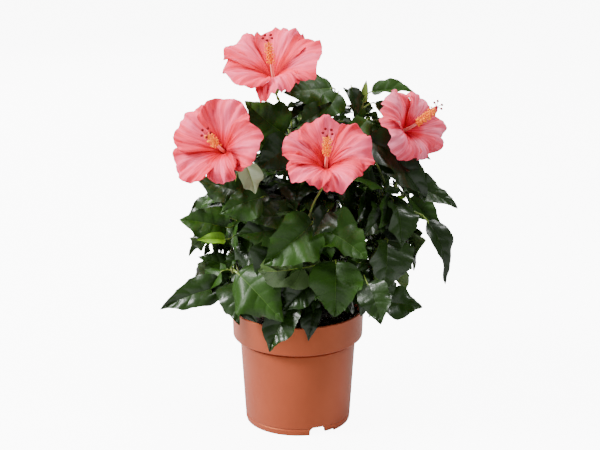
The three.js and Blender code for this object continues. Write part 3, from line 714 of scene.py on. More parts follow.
# %% [markdown]
# ## Finer shoots and young leaves
# The plain solids hold only what shows from a few steps away. A real hibiscus also has short side
# shoots, half-grown leaves and, at each growing tip, a tuft of tiny folded ones. Copies scattered
# over the head of leaves would cut through each other. The same rule grows these on instead, from
# the same stems, in the places that are still free, and inside the space of the plain plant, so
# nothing gets bigger.

# %% Finer shoots and young leaves
FINE_SHARE = 0.58
FINE_TRIES = TRIES + [(150, 0, 0.55), (-150, 10, 0.55), (60, 30, 0.5), (-60, -20, 0.5), (90, 20, 0.42),
                      (-90, 20, 0.42)]
TUFT_FOLD = math.radians(34)
box_low, box_high = np.array(solid_box[0]) / MM, np.array(solid_box[1]) / MM


def in_box(points):
    """Whether all the points are inside the plain plant's box."""
    return bool(((points > box_low) & (points < box_high)).all())


def fine_leaf(m, path, t, degrees, size, droop, room_share=FINE_SHARE):
    """Like grow_leaf, but it takes more tries and may come closer to its neighbours."""
    point, axis = along(path, t)
    for turn, extra, share in FINE_TRIES:
        leaf = free_leaf(point, axis, degrees + turn, size * share, droop + extra, m["draws"])
        tests = leaf_tests(leaf)
        if in_box(tests) and not too_low(tests) and is_free(tests, m["name"], room_share):
            keep_leaf(m, leaf)
            return


def tip_tuft(m, path):
    """Two tiny folded leaves round a growing tip."""
    tip, axis = along(path, 1)
    for k in range(2):
        turn = GOLDEN_TURN * k + m["first"]
        leaf = free_leaf(tip - axis * (1.5 * k), axis, turn, 9 + 6 * k, -35 + 12 * k, m["draws"])
        leaf["fold"] = TUFT_FOLD
        if in_box(leaf_tests(leaf)):
            m["tuft"].append(leaf)


for m in masses:
    draws = m["draws"]
    for k in range(12):
        size = m["leaf"] * (0.6 + 0.4 * draws.next())
        degrees = m["first"] + 70 + GOLDEN_TURN * k
        fine_leaf(m, m["stem"], 0.04 + 0.08 * k, degrees, size, 20 + draws.spread(15))
    for at in (0.2, 0.45, 0.78):
        shoot = grow_twig(m, m["stem"], at, (0, 60, -60, 120, -120), 0.3, m["first"] + 40 + 400 * at)
        if shoot is not None and in_box(np.array(shoot)):
            m["shoots"].append(shoot)
    for path in m["twigs"] + m["shoots"]:
        for t in (0.35, 0.8):
            degrees = 360 * draws.next()
            size = m["leaf"] * (0.35 + 0.25 * draws.next())
            fine_leaf(m, path, t, degrees, size, 10 + draws.spread(15))
        tip_tuft(m, path)
    if not any(b["on"] == m["name"] for b in blooms) and not m["bud"]:
        tip_tuft(m, m["stem"])
print("finer shoots:", sum(len(m["shoots"]) for m in masses),
      " leaves in tufts:", sum(len(m["tuft"]) for m in masses))

# %% [markdown]
# ## Shade leaves
# Inside the head of a real plant older leaves hang in the shade of the others, and between them it
# is dark. A dark ball in the middle would do for one view, but the sky would still show through
# round it. So each mass gets a few shade leaves more, which may come closer to their neighbours
# than any others.

# %% Shade leaves
SHADE_SHARE = 0.34

for m in masses:
    draws = m["draws"]
    for k in range(6):
        size = m["leaf"] * (0.5 + 0.25 * draws.next())
        degrees = m["first"] + 200 + GOLDEN_TURN * k
        droop = 35 + draws.spread(20)
        fine_leaf(m, m["stem"], 0.35 + 0.12 * k, degrees, size, droop, SHADE_SHARE)
print("leaves now:", sum(len(m["grown"]) for m in masses))

# %% [markdown]
# ## From points to a piece
# Hundreds of leaves as hundreds of objects would be slow to handle, and particles or instances
# would be lost when the model is saved. So the points and faces of one kind are gathered in a
# pile, and each pile becomes one mesh. A sharp edge is kept only where two faces meet steeply, so
# a leaf stays smooth while its thin edge stays crisp.

# %% From points to a piece
class Pile:
    """Points and faces of one kind, gathered until they become one mesh."""

    def __init__(self):
        self.points, self.faces, self.finishes, self.count = [], [], [], 0

    def add(self, points, faces, finishes=0):
        """finishes is one number for all the faces, or one for each."""
        points = np.reshape(points, (-1, 3))
        self.points.append(points)
        self.faces += [[corner + self.count for corner in face] for face in faces]
        self.finishes += [finishes] * len(faces) if isinstance(finishes, int) else list(finishes)
        self.count += len(points)


def make_piece(name, pile, materials, stands_for=(), crease=55):
    """One mesh object from a pile. It rides on the plant's only body."""
    mesh = bpy.data.meshes.new(name)
    mesh.from_pydata((np.vstack(pile.points) * MM).tolist(), [], pile.faces)
    for material in materials:
        mesh.materials.append(material)
    mesh.polygons.foreach_set("material_index", pile.finishes)
    mesh.shade_smooth()
    mesh.set_sharp_from_angle(angle=math.radians(crease))
    mesh.update()
    piece = bpy.data.objects.new(name, mesh)
    bpy.context.scene.collection.objects.link(piece)
    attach(piece, "root")
    if stands_for:
        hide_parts(*stands_for)
    print(f"{name}: {sum(len(face) - 2 for face in pile.faces)} triangles")
    return piece


print("points in a new pile:", Pile().count)

# %% [markdown]
# ## The blade's net of rows
# A leaf's side veins run forward from the midrib in pairs and end in the coarse teeth of its
# margin, and the blade puffs up a little between them. Drawn as an image, the veins would need a
# picture for each leaf. Here the net of points follows them: each vein is a narrow strip of faces
# with a finish of its own, the rows between veins are lifted, and the margin draws in between two
# teeth. There are three nets, and a small leaf gets a coarser one, since nobody sees more of it.
# The upper and the lower sheet share their margin and are split along the same diagonals, so they
# never cross.

# %% The blade's net of rows
TOP, RIB, VEIN, UNDER = 0, 1, 2, 3


def net_faces(net, flip=False):
    """The faces between rows of points. A flipped face starts at the same corner, so the two
    sheets of a blade are split along the same diagonal and never cross."""
    a, b, c, d = net[:-1, :-1], net[:-1, 1:], net[1:, 1:], net[1:, :-1]
    return np.stack([a, d, c, b] if flip else [a, b, c, d], -1).reshape(-1, 4).tolist()


def two_sheets(high, wide):
    """The nets of two sheets that share the points of their margin."""
    first = np.arange(high * wide).reshape(high, wide)
    second = first.copy()
    second[1:-1, 1:-1] = first.size + np.arange((high - 2) * (wide - 2)).reshape(high - 2, -1)
    return first, second


def sheet_points(first, second):
    """The points of two such sheets, each point of the margin once."""
    return np.vstack([first.reshape(-1, 3), second[1:-1, 1:-1].reshape(-1, 3)])


class BladeNet:
    """The rows and columns of a blade, with the finish of each face."""

    def __init__(self, pairs, shares, steps):
        """pairs of side veins, the columns' shares of half the breadth, and the rows between two
        veins, each with its share of the way, its puff and its tooth."""
        # A row is where it leaves the midrib, its side of a vein, its puff, its tooth and its pair
        rows = [(foot, 0, 6 * foot, 0, 0) for foot in (0.0004, 0.006, 0.017, 0.032, 0.05)]
        feet = [0.07 + 0.77 * (k / (pairs - 1)) ** 0.95 for k in range(pairs)] + [0.93]
        for k, (foot, following) in enumerate(zip(feet, feet[1:])):
            rows += [(foot, -1, 0, 0.92, k), (foot, 1, 0, 1, k)]
            rows += [(foot + (following - foot) * share, 0, puff, tooth, k) for share, puff, tooth in steps]
        rows += [(0.95, 0, 0.1, 0, pairs), (0.985, 0, 0, 0, pairs), (0.999, 0, 0, 0, pairs)]
        columns = [np.array(c, float)[:, None] for c in zip(*rows)]
        self.foot, self.flank, self.puff, self.tooth = columns[:4]
        self.pair = columns[4].astype(int)
        self.pairs = pairs
        self.side = np.array([-1] * len(shares) + [0] + [1] * len(shares))
        self.share = np.array([*shares[::-1], 0, *shares])[None, :]
        upper, lower = two_sheets(len(rows), len(self.side))
        finish = np.full((len(rows) - 1, len(self.side) - 1), TOP)
        finish[[i for i in range(len(rows) - 1) if rows[i][1] < 0 < rows[i + 1][1]], :] = VEIN
        finish[:, [len(shares) - 1, len(shares)]] = RIB
        self.faces = net_faces(upper) + net_faces(lower, flip=True)
        self.finishes = np.concatenate([finish.ravel(), np.where(finish == TOP, UNDER, finish).ravel()])


full_net = BladeNet(5, (0, 0.28, 0.55, 0.8, 1), (
    (0.14, 0.45, -0.2), (0.32, 0.85, -0.75), (0.5, 1, -0.8), (0.68, 0.85, -0.45), (0.86, 0.45, 0.2)))
half_net = BladeNet(4, (0, 0.4, 0.75, 1), ((0.25, 0.7, -0.6), (0.5, 1, -0.8), (0.75, 0.7, -0.2)))
small_net = BladeNet(3, (0, 0.55, 1), ((0.33, 0.9, -0.7), (0.67, 0.9, -0.3)))
HALF_LEAF, SMALL_LEAF = 38, 24
print("faces on one blade:", len(full_net.faces), len(half_net.faces), len(small_net.faces))

# %% [markdown]
# ## A leaf's margin
# The margin makes a hibiscus leaf: entire near the stalk, coarsely and unevenly toothed farther
# out, with a tip that is long on some leaves and blunt on others. An outline could be cut from a
# flat sheet, but then the veins wouldn't meet the teeth. Here the net's rows are slanted forward
# and its points moved in and out, so each vein runs into its own tooth. Each leaf draws its margin
# from its own seed, so no two match.

# %% A leaf's margin
TOOTH_DEPTH = 0.065
MIDRIB_WIDTH = 0.0058


def ramp(x, low, high):
    """0 up to low, 1 from high on, and a smooth rise between them."""
    k = np.clip((np.asarray(x, float) - low) / (high - low), 0, 1)
    return k * k * (3 - 2 * k)


def waves(t, count, draws):
    return np.sin(2 * math.pi * (count * t + draws.next()))


def waves_by_side(net, t, count, draws):
    """Waves along a blade that start differently on its two halves."""
    return np.where(net.side > 0, waves(t, count, draws), waves(t, count, draws))


def worked_margin(net, leaf, draws):
    """For each point of the net: how far along the blade, how far across it, and how far across
    once the margin is worked."""
    narrow = np.maximum(1e-3, half_width(net.foot) * leaf["broad"])
    midrib = np.minimum(0.4, MIDRIB_WIDTH * (1.2 - net.foot) / narrow)
    s = net.side * (midrib + (1 - midrib) * net.share)
    off = np.abs(s)
    slant = 0.2 * np.sin(math.pi * net.foot ** 0.8)
    left, right = (np.array([0.3 + draws.next() for _ in range(net.pairs + 1)]) for _ in range(2))
    tooth = net.tooth * np.where(net.side > 0, right[net.pair], left[net.pair])
    t = net.foot + slant * off ** 1.25 + net.flank * 0.003 * (1 - 0.7 * off) + 0.014 * tooth * off ** 5
    t = np.clip(t, 0.0003, 0.9995)
    toothed = TOOTH_DEPTH * tooth * ramp(t, 0.22, 0.55) * off ** 4
    drawn_out = 0.36 + 0.14 * math.sin(5 * leaf["phase"])
    outline = (1 + 0.05 * (1 - ramp(t, 0, 0.3))) * (1 - drawn_out * ramp(t, 0.58, 0.93))
    lobes = waves_by_side(net, t, 1.7, draws)
    uneven = 1 + 0.08 * draws.spread(1) * np.sign(s) + 0.085 * lobes * off ** 2 * ramp(t, 0.1, 0.4)
    return t, s, s * (1 + toothed) * outline * uneven


print("half way along a ramp:", float(ramp(0.5, 0, 1)))

# %% [markdown]
# ## One leaf
# The blade is a thin closed skin: its upper and lower sheets meet at the margin. Its surface has
# the midrib's groove, sunk veins, slow waves across the whole blade, quicker ones at its edges, and
# margins that curl up or down. Sculpting would shape one leaf well, but there are hundreds. So the
# relief is worked out too, and each leaf draws its own bearing.

# %% One leaf
BLADE_THICKNESS = 0.45
# How high a blade's waves are, how fast they grow toward the edge, and how many it has
BLADE_WAVES = ((0.24, 2, 1.15), (0.13, 3, 2.5), (0.05, 4, 5.1))


def blade_rise(net, leaf, t, s, draws):
    """How far each point is lifted off the plain surface."""
    size, off = leaf["size"], np.abs(s)
    w = half_width(t) * size * leaf["broad"]
    # The surface between veins, the sunk veins and the midrib's groove
    rise = size * 0.012 * net.puff * np.sin(math.pi * np.clip(off, 0, 1) ** 0.8) * ramp(t, 0, 0.1)
    rise = rise - size * 0.004 * (net.flank != 0) * (1 - off ** 2)
    rise = rise - size * 0.013 * (1 - 0.6 * t) * (net.share == 0)
    # The blade's own bearing: folded, twisted, curled, waved
    rise = rise + w * off * (0.08 + 0.2 * draws.spread(1))
    rise = rise + w * s * (0.3 * draws.spread(1) * t + 0.06 * draws.spread(1))
    rise = rise + w * off ** 2.5 * (0.28 * draws.spread(1) - 0.06)
    for height, power, count in BLADE_WAVES:
        rise = rise + w * height * off ** power * waves_by_side(net, t, count, draws)
    return rise + size * (0.05 * draws.spread(1) * np.sin(1.6 * math.pi * t) - 0.12 * draws.next() * t ** 3)


def add_blade(pile, leaf):
    """Adds a blade to a pile. Its midrib comes back, for the stalk to follow."""
    draws = Draws(int(abs(leaf["phase"]) * 1e6) + int(leaf["size"] * 1000))
    size = leaf["size"]
    net = small_net if size < SMALL_LEAF else half_net if size < HALF_LEAF else full_net
    t, s, worked_s = worked_margin(net, leaf, draws)
    points = blade_points(leaf, t, worked_s)
    lift = blade_lift(leaf, t)
    side = np.cross(leaf["along"], leaf["face"])
    rise = blade_rise(net, leaf, t, s, draws)
    sickle = size * 0.1 * draws.spread(1) * t ** 2
    points = points + lift * rise[..., None] + side * sickle[..., None]
    under = points - lift * (BLADE_THICKNESS * min(1, size / 40))
    pile.add(sheet_points(points, under), net.faces, net.finishes)
    middle = len(net.side) // 2
    return net.foot[:, 0], points[:, middle], lift[:, middle]


trial_pile = Pile()
add_blade(trial_pile, masses[0]["grown"][0])
print("points on a blade:", trial_pile.count)

# %% [markdown]
# ## Stalks and limbs as tapering tubes
# A stalk, a stem and a trunk are all round limbs that taper. A curve object with a bevel could draw
# them, but bark and the swellings where leaves sit need their own points. So a limb is a row of
# rings round a smooth path, and each ring's radius can be worked point by point. A leaf's stalk
# runs on under the blade as its midrib, so it has to follow the blade as that was bent and waved,
# and not as it was first laid out.

# %% Stalks and limbs as tapering tubes
STALK_STEPS = 6


def smooth_path(path, count):
    """More points on the same path, on a curve through its points."""
    p = np.array(path)
    p = np.vstack([2 * p[0] - p[1], p, 2 * p[-1] - p[-2]])
    x = np.linspace(0, len(path) - 1, count)
    i = np.minimum(x.astype(int), len(path) - 2)
    f = (x - i)[:, None]
    a, b, c, d = p[i], p[i + 1], p[i + 2], p[i + 3]
    return 0.5 * (2 * b + (c - a) * f + (2 * a - 5 * b + 4 * c - d) * f ** 2
                  + (3 * b - a - 3 * c + d) * f ** 3)


def limb_rings(path, sides):
    """The outward direction of each point of each ring round a path."""
    path = np.asarray(path)
    way = np.gradient(path, axis=0)
    way /= np.linalg.norm(way, axis=1)[:, None]
    side = radial(way[0], 0)
    angles = np.linspace(0, 2 * math.pi, sides, endpoint=False)
    rings = []
    for w in way:
        side = across(side, w)
        rings.append(np.outer(np.cos(angles), side) + np.outer(np.sin(angles), np.cross(w, side)))
    return np.array(rings)


def ring_faces(net, flip=False):
    """The faces of a net whose rows close into rings."""
    return net_faces(np.hstack([net, net[:, :1]]), flip)


def add_limb(pile, path, radii, sides, finish=0):
    """radii is one for each ring, or one for each point of each ring."""
    path = np.asarray(path)
    radii = np.asarray(radii, float)
    radii = radii[:, None] if radii.ndim == 1 else radii
    points = path[:, None, :] + limb_rings(path, sides) * radii[..., None]
    net = np.arange(len(path) * sides).reshape(len(path), sides)
    pile.add(points, ring_faces(net) + [net[0, ::-1].tolist(), net[-1].tolist()], finish)


def stalk_path(leaf):
    """A stalk leaves its stem, sags a little and turns into the midrib."""
    root, joint = leaf["root"], leaf["joint"]
    span = distance(root, joint)
    a = root + unit(joint - root + UP * (0.18 * span)) * (0.4 * span)
    b = joint - leaf["along"] * (0.3 * span)
    return pulled_curve(root, a, b, joint, np.linspace(0, 1, STALK_STEPS + 1)[:, None])


def add_stalk(pile, leaf, midrib):
    """The stalk, and the rib that carries on from it under the blade as it was bent."""
    shares, points, lift = midrib
    thick = 0.95 * max(0.35, leaf["size"] / 60)
    stalk_radii = thick * np.array([1.35, 1.0, 0.86, 0.8, 0.82, 0.95, 1.0])
    at = np.array([0.06, 0.2, 0.4, 0.62, 0.84])
    rib_radii = thick * np.array([0.8, 0.64, 0.46, 0.32, 0.16])
    rows = np.searchsorted(shares, at)
    rib = points[rows] - lift[rows] * (rib_radii + 0.25)[:, None]
    add_limb(pile, np.vstack([stalk_path(leaf), rib]), np.concatenate([stalk_radii, rib_radii]), 6)


print("points on a stalk:", len(stalk_path(masses[0]["grown"][0])))

# %% [markdown]
# ## Colours and fine relief
# No surface of a plant or its pot is even, not even a smooth one. An image could carry the grain,
# but an image grows coarse when the lens comes near. So each finish gets its grain from nodes: a
# noise in the piece's own space lifts the surface by about a millimetre or less. Colours are given
# from 0 to 255, as a screen shows them, so that they can be compared with the photograph's. Blender
# wants them as light, so each one is converted.

# %% Colours and fine relief
def linear(r, g, b):
    """A colour as a screen shows it, 0 to 255, as the light values Blender wants."""
    shares = (r / 255, g / 255, b / 255)
    return tuple(c / 12.92 if c <= 0.04045 else ((c + 0.055) / 1.055) ** 2.4 for c in shares)


def grain_of(tree, scale, detail, place=None):
    """A noise with so many cells a metre, in the piece's own space or on another map."""
    grain = tree.nodes.new("ShaderNodeTexNoise")
    grain.inputs["Scale"].default_value = scale
    grain.inputs["Detail"].default_value = detail
    place = place or tree.nodes.new("ShaderNodeTexCoord").outputs["Object"]
    tree.links.new(place, grain.inputs["Vector"])
    return grain.outputs["Fac"]


def lift_by(shader, tree, grain, depth, strength=1.0):
    """Lets a noise lift the surface by so many metres."""
    bump = tree.nodes.new("ShaderNodeBump")
    bump.inputs["Distance"].default_value = depth
    bump.inputs["Strength"].default_value = strength
    tree.links.new(grain, bump.inputs["Height"])
    tree.links.new(bump.outputs["Normal"], shader.inputs["Normal"])


def plain_finish(name, colour, roughness, scale, depth, detail=2.0, shine=0.5):
    """One colour with a fine relief. shine is how strongly it mirrors."""
    material, shader, tree = node_material(name, linear(*colour), roughness)
    shader.inputs["Specular IOR Level"].default_value = shine
    lift_by(shader, tree, grain_of(tree, scale, detail), depth)
    return material


print("middle grey as light:", round(linear(128, 128, 128)[0], 3))

# %% [markdown]
# ## Leaf finishes
# A hibiscus leaf has a thin wax skin: the upper side is deep green and mirrors the lamps, the
# underside is paler and dull, and the veins are pale. One patterned colour over all the leaves
# would have to be baked to an image, where hundreds of blades share too few dots. So each green is
# a plain colour, dealt out spray by spray. Old leaves mirror more, and a thin hard gloss over their
# wax gives the small bright glints. The fine unevenness that breaks up the shine is worked by
# nodes: a noise that lifts the surface by a fraction of a millimetre.

# %% Leaf finishes
WAX_CELLS, WAX_DEPTH = 330, 0.00025
GLOSS_ROUGHNESS = 0.14
# The blade's green, its midrib's, how much paler its side veins are, how dull its wax is, how
# strongly it mirrors, and how much hard gloss lies over it
leaf_greens = {
    "deep": ((19, 37, 5), (32, 48, 13), 1.2, 0.36, 0.3, 0.1),
    "mid": ((24, 46, 5), (40, 62, 16), 1.2, 0.38, 0.3, 0.12),
    "fresh": ((34, 63, 7), (58, 88, 24), 1.18, 0.48, 0.22, 0.04),
    "young": ((92, 132, 20), (134, 168, 60), 1.1, 0.5, 0.3, 0),
    # The pale green is for a turned leaf's underside: partly its own paler green, partly a painted silvery
    # sheen
    "pale": ((118, 132, 102), (82, 98, 66), 0.8, 0.36, 0.6, 0.1),
}


def wax_leaf(name, colour, dull, shine, gloss=0.0):
    material = plain_finish(name, colour, dull, WAX_CELLS, WAX_DEPTH, shine=shine)
    shader = material.node_tree.nodes["Principled BSDF"]
    shader.inputs["Coat Weight"].default_value = gloss
    shader.inputs["Coat Roughness"].default_value = GLOSS_ROUGHNESS
    return material


leaf_materials = {}
for name, (green, rib, paler, dull, shine, gloss) in leaf_greens.items():
    leaf_materials[name] = [
        wax_leaf("leaf_top_" + name, green, dull, shine, gloss),
        wax_leaf("leaf_rib_" + name, rib, dull + 0.08, shine),
        wax_leaf("leaf_vein_" + name, [c * paler for c in green], dull, shine, gloss),
        wax_leaf("leaf_under_" + name, [c * 0.7 + k for c, k in zip(green, (54, 62, 44))], 0.42, 0.5)]
print("leaf finishes:", sum(len(materials) for materials in leaf_materials.values()))

# %% [markdown]
# ## Dealing out the greens
# On the plant the outer sprays are a fresher green and the old leaves inside a darker one, with a
# few yellow-green ones just unfolding. Leaves deep inside and low down, where shade falls, get the
# darkest greens: partly their own older green and partly painted shade. Each spray draws its green
# from its own seed, weighted by how far out and how high it sits, which looks more natural than a
# green drawn for each leaf alone. Leaves of the outline whose green shows in the photograph are
# given it, partly their own green and partly painted light and shade, and four of them are a little
# narrower than the plain solid's. The front and the rear half of the head become pieces of their
# own, so that none gets too heavy to handle.

# %% Dealing out the greens
leaf_piles = {(half, name): Pile() for half in ("front", "rear") for name in leaf_greens}
stalk_pile = Pile()
foliage_nodes = ["foliage_" + m["name"] for m in masses]
# Outline leaves whose green shows plainly in the photograph
# Each green given is partly the leaf's own and partly painted light and shade: fresher where the leaf is lit,
# darker where it lies in shade
known_greens = {
    ("left", 0): "fresh", ("left", 1): "young", ("left", 2): "fresh", ("left", 3): "mid",
    ("low_left", 0): "fresh", ("low_left", 1): "mid", ("front", 0): "fresh", ("front", 1): "fresh",
    ("low_front", 0): "fresh", ("upper_left", 1): "deep", ("crown", 0): "fresh",
    ("upper_left", 0): "fresh", ("upper_right", 1): "fresh", ("right", 1): "mid", ("right", 2): "mid",
    ("right", 4): "deep", ("low_right", 0): "mid", ("low_right", 1): "mid", ("low_right", 2): "mid",
}
# Outline leaves that are narrower than the plain solid's, and the share of its breadth they keep
slender = {("low_left", 1): 0.72, ("right", 1): 0.75, ("right", 4): 0.62, ("upper_right", 1): 0.85}


def green_of(leaf, draws):
    """Deep inside and low down, partly painted shade, and fresh far out and high up."""
    out = math.hypot(leaf["joint"][0], leaf["joint"][1]) / 110 + (leaf["joint"][2] - 150) / 400
    share = draws.next() * 0.6 + out * 0.55
    if leaf["size"] < SMALL_LEAF:
        return "young" if share > 1.02 else "fresh" if share > 0.6 else "mid"
    return "deep" if share < 0.5 else "mid" if share < 0.9 else "fresh"


for m in masses:
    draws = Draws(m["seed"] * 101 + 7)
    half = "rear" if "back" in m["name"] else "front"
    green = "mid"
    for k, leaf in enumerate(m["grown"] + m["tuft"]):
        green = green_of(leaf, draws) if k % 2 == 0 or leaf["size"] < SMALL_LEAF else green
        leaf["broad"] *= slender.get((m["name"], k), 1)
        known = leaf.get("green") or known_greens.get((m["name"], k), green)
        add_stalk(stalk_pile, leaf, add_blade(leaf_piles[half, known], leaf))
for (half, name), pile in leaf_piles.items():
    if pile.count:
        make_piece(f"leaves_{name}_{half}", pile, leaf_materials[name], foliage_nodes)

# %% [markdown]
# ## Stems and twigs
# Inside the head of leaves the young stems are green to brown, thinner toward their tips, and swell
# a little at each joint where a leaf sits. Plain tubes would do for what shows, but a stem without
# its joints looks like wire, so each one is swollen where the rule hung a leaf. The stems start
# inside the bough below, so the wood reads as one.

# %% Stems and twigs
SWELLING, SWELLING_RUN = 0.45, 2.2
stem_pile = Pile()


def add_stem(path, thick, thin, leaves, count, sides):
    """A limb that swells where a leaf sits."""
    line = smooth_path(path, count)
    radii = thick + (thin - thick) * np.linspace(0, 1, count)
    for leaf in leaves:
        away = np.linalg.norm(line - leaf["root"], axis=1)
        radii = radii + SWELLING * np.exp(-(away / SWELLING_RUN) ** 2) * (radii / thick)
    radii[-1] *= 0.4
    add_limb(stem_pile, line, radii, sides)


for m in masses:
    inside_bough = m["stem"][0] - m["head"] * 2.5
    add_stem([inside_bough] + m["stem"], 2.1, 1.2, m["grown"], 44, 10)
    for path in m["twigs"]:
        add_stem(path, 1.25, 0.75, m["grown"], 22, 8)
    for path in m["shoots"]:
        add_stem(path, 1.0, 0.6, m["grown"], 16, 7)
stem_material = plain_finish("young_stem", (92, 98, 46), 0.55, 700, 0.0004)
stalk_material = plain_finish("leaf_stalk", (112, 134, 52), 0.42, 900, 0.0001)
make_piece("stems", stem_pile, [stem_material], foliage_nodes)
make_piece("leaf_stalks", stalk_pile, [stalk_material], foliage_nodes)

# %% [markdown]
# ## Petals
# A hibiscus flower has five broad petals, each lapped over its neighbour like the blades of a fan,
# with a narrow foot in the throat and a broad rim that is cut a little into lobes. They could be
# drawn one by one as curves. A formula does it for all twenty: t runs out from the throat and s from
# edge to edge. The length, the breadth and the hang of each petal were read from the photograph,
# and so was how far each flower is turned on its stalk.

# %% Petals
from mathutils import Vector, noise

PETALS = 5
# How far each flower is turned on its stalk, and for each of its petals the length, how far it
# hangs back and how broad its rim is
petal_plans = {
    "bloom_top": dict(turn=6, long=(0.98, 0.96, 1.02, 0.94, 0.98), hang=(0.04, 0.14, 0.02, 0.04, 0.06),
                      broad=(1.15, 0.74, 1, 1, 1.05)),
    "bloom_left": dict(turn=0, long=(0.98, 0.78, 0.96, 0.97, 0.98), hang=(0.1, 0.14, 0.06, 0, 0.02),
                       broad=(0.95, 0.78, 0.95, 1.05, 1)),
    "bloom_front": dict(turn=0, long=(0.88, 0.86, 0.94, 0.86, 0.9), hang=(0.1, 0.1, 0.02, 0.04, 0.06),
                        broad=(0.95, 0.9, 1, 1.22, 1)),
    "bloom_right": dict(turn=-18, long=(1.04, 0.92, 0.78, 0.96, 0.86), hang=(0.06, 0.12, 0.14, 0.04, 0.06),
                        broad=(0.8, 1.15, 0.9, 1, 0.92)),
}


def crinkle(t, s, across_scale, along_scale, seed):
    """A smooth unevenness over a petal, between -1 and 1, drawn out along it."""
    return np.array([
        [noise.noise(Vector((x * across_scale, y * along_scale, seed))) for y, x in zip(*row)]
        for row in zip(t, s)])


def petal_outline(b, index, t, s, phase, seed):
    """How far out each point lies: a narrow foot and a broad rim, cut a little into lobes."""
    lobes = 1 + 0.03 * np.sin(4.3 * s + phase) * t + 0.06 * t ** 3 * crinkle(t * 0, s, 3.2, 1, seed * 0.37)
    lobes = lobes + 0.014 * t ** 5 * crinkle(t * 0, s, 11, 1, seed * 0.71)
    long = 0.035 + 0.965 * t * petal_plans[b["name"]]["long"][index]
    return b["radius"] * long * (1 - 0.27 * np.abs(s) ** 3 * t * t) * lobes


print("petals planned:", PETALS * len(petal_plans))

# %% [markdown]
# ## How the petals stand
# Each petal rises from the throat, spreads wide, folds back at the rim and ruffles at the edges,
# thin and crinkled as tissue paper. Cloth simulation could ruffle a sheet, but it wouldn't know
# which edge lies over which. So the height is a formula too: it lifts one edge of each petal over
# its neighbour and ruffles only the parts that are free.

# %% How the petals stand
PETAL_ROWS, PETAL_COLUMNS = 46, 56
PETAL_THICKNESS = 0.6
THROAT_RUN = 0.16


def petal_rise(b, index, t, s, phase, seed):
    """How far up each point lies: out of the throat, over the rim, ruffled where the edge is free."""
    flare = 0.5 * (1 - (1 - t) ** 1.6) - 0.12 * np.maximum(0, 1 - t / THROAT_RUN) ** 2
    flare = flare - (b["fold"] + petal_plans[b["name"]]["hang"][index]) * t ** 4
    lap = (0.09 * s + 0.05 * np.maximum(0, s) ** 5) * (0.03 + 0.97 * t ** 1.6)
    ruffle = b["ruffle"] * t * t * np.sin(5 * s + 3 * t + phase)
    free = np.maximum(t ** 4, s ** 4 * t * t)
    frill = free * (0.06 * np.sin(9 * s + 5 * t + 2.1 * phase) + 0.016 * np.sin(24 * s + 9 * t + 3.7 * phase))
    fold = 0.18 * t ** 1.4 * np.abs(crinkle(t, s, 2.6, 0.7, seed * 0.13)) ** 0.8
    crease = 0.08 * t * t * crinkle(t, s, 7, 1.6, seed * 0.29) + 0.024 * t * crinkle(t, s, 24, 5, seed * 0.53)
    pleat = 0.01 * np.sin(22 * s + phase + 2 * t) * np.sin(math.pi * np.minimum(1, t * 1.15)) ** 0.7
    return b["radius"] * (flare + lap + ruffle + frill + fold + crease + pleat)


def petal_points(b, index, t, s):
    seed = b["seed"] * 977 + index * 131
    phase = Draws(seed).next() * 2 * math.pi
    plan = petal_plans[b["name"]]
    half_angle = 34 + 15 * np.sin(math.pi * t) + 26 * (1 - t) ** 5 + 16 * t ** 2
    half_angle = half_angle * (1 - (1 - plan["broad"][index]) * ramp(t, 0.2, 0.75))
    turn = np.radians(b["first"] + plan["turn"] + 360 / PETALS * index + s * half_angle)
    u = radial(b["faces"], 0)
    out = np.cos(turn)[..., None] * u + np.sin(turn)[..., None] * np.cross(b["faces"], u)
    reach = petal_outline(b, index, t, s, phase, seed)
    rise = petal_rise(b, index, t, s, phase, seed)
    return b["throat"] + out * reach[..., None] + b["faces"] * rise[..., None]


petal_t, petal_s = np.meshgrid(np.linspace(0, 1, PETAL_ROWS), np.linspace(-1, 1, PETAL_COLUMNS),
                               indexing="ij")
petal_front, petal_back = two_sheets(PETAL_ROWS, PETAL_COLUMNS)


def add_petal(pile, b, index):
    points = petal_points(b, index, petal_t, petal_s)
    back = points - b["faces"] * PETAL_THICKNESS
    pile.add(sheet_points(points, back), net_faces(petal_front, flip=True) + net_faces(petal_back))


print("faces on a petal:", 2 * (PETAL_ROWS - 1) * (PETAL_COLUMNS - 1))

# %% [markdown]
# ## Where the colour lies on a petal
# A petal is red at its foot and palest along its middle, so its colour follows its own length and
# breadth. A colour tied to the space round the flower would cut across the petals instead. So each
# flower gets two maps of its own: one says how far out and how far across each corner is, for the
# nodes to read, and the other spreads the petals side by side, so that the colour can be kept when
# the model is saved.

# %% Where the colour lies on a petal
# Along its middle a petal's pink starts closer in, so the red eye is a star
RED_BETWEEN = 0.1
# The back of a petal has no red eye: its colours start this far out, and keep to this share of
# its breadth, round the pale middle
PALE_BACK, PALE_BREADTH = 0.46, 0.45
# The second map has its petals in tiles, with a narrow edge left free round each
TILES_ACROSS, TILES_UP = 4, 3
TILE_EDGE, TILE_FILL = 0.03, 0.94


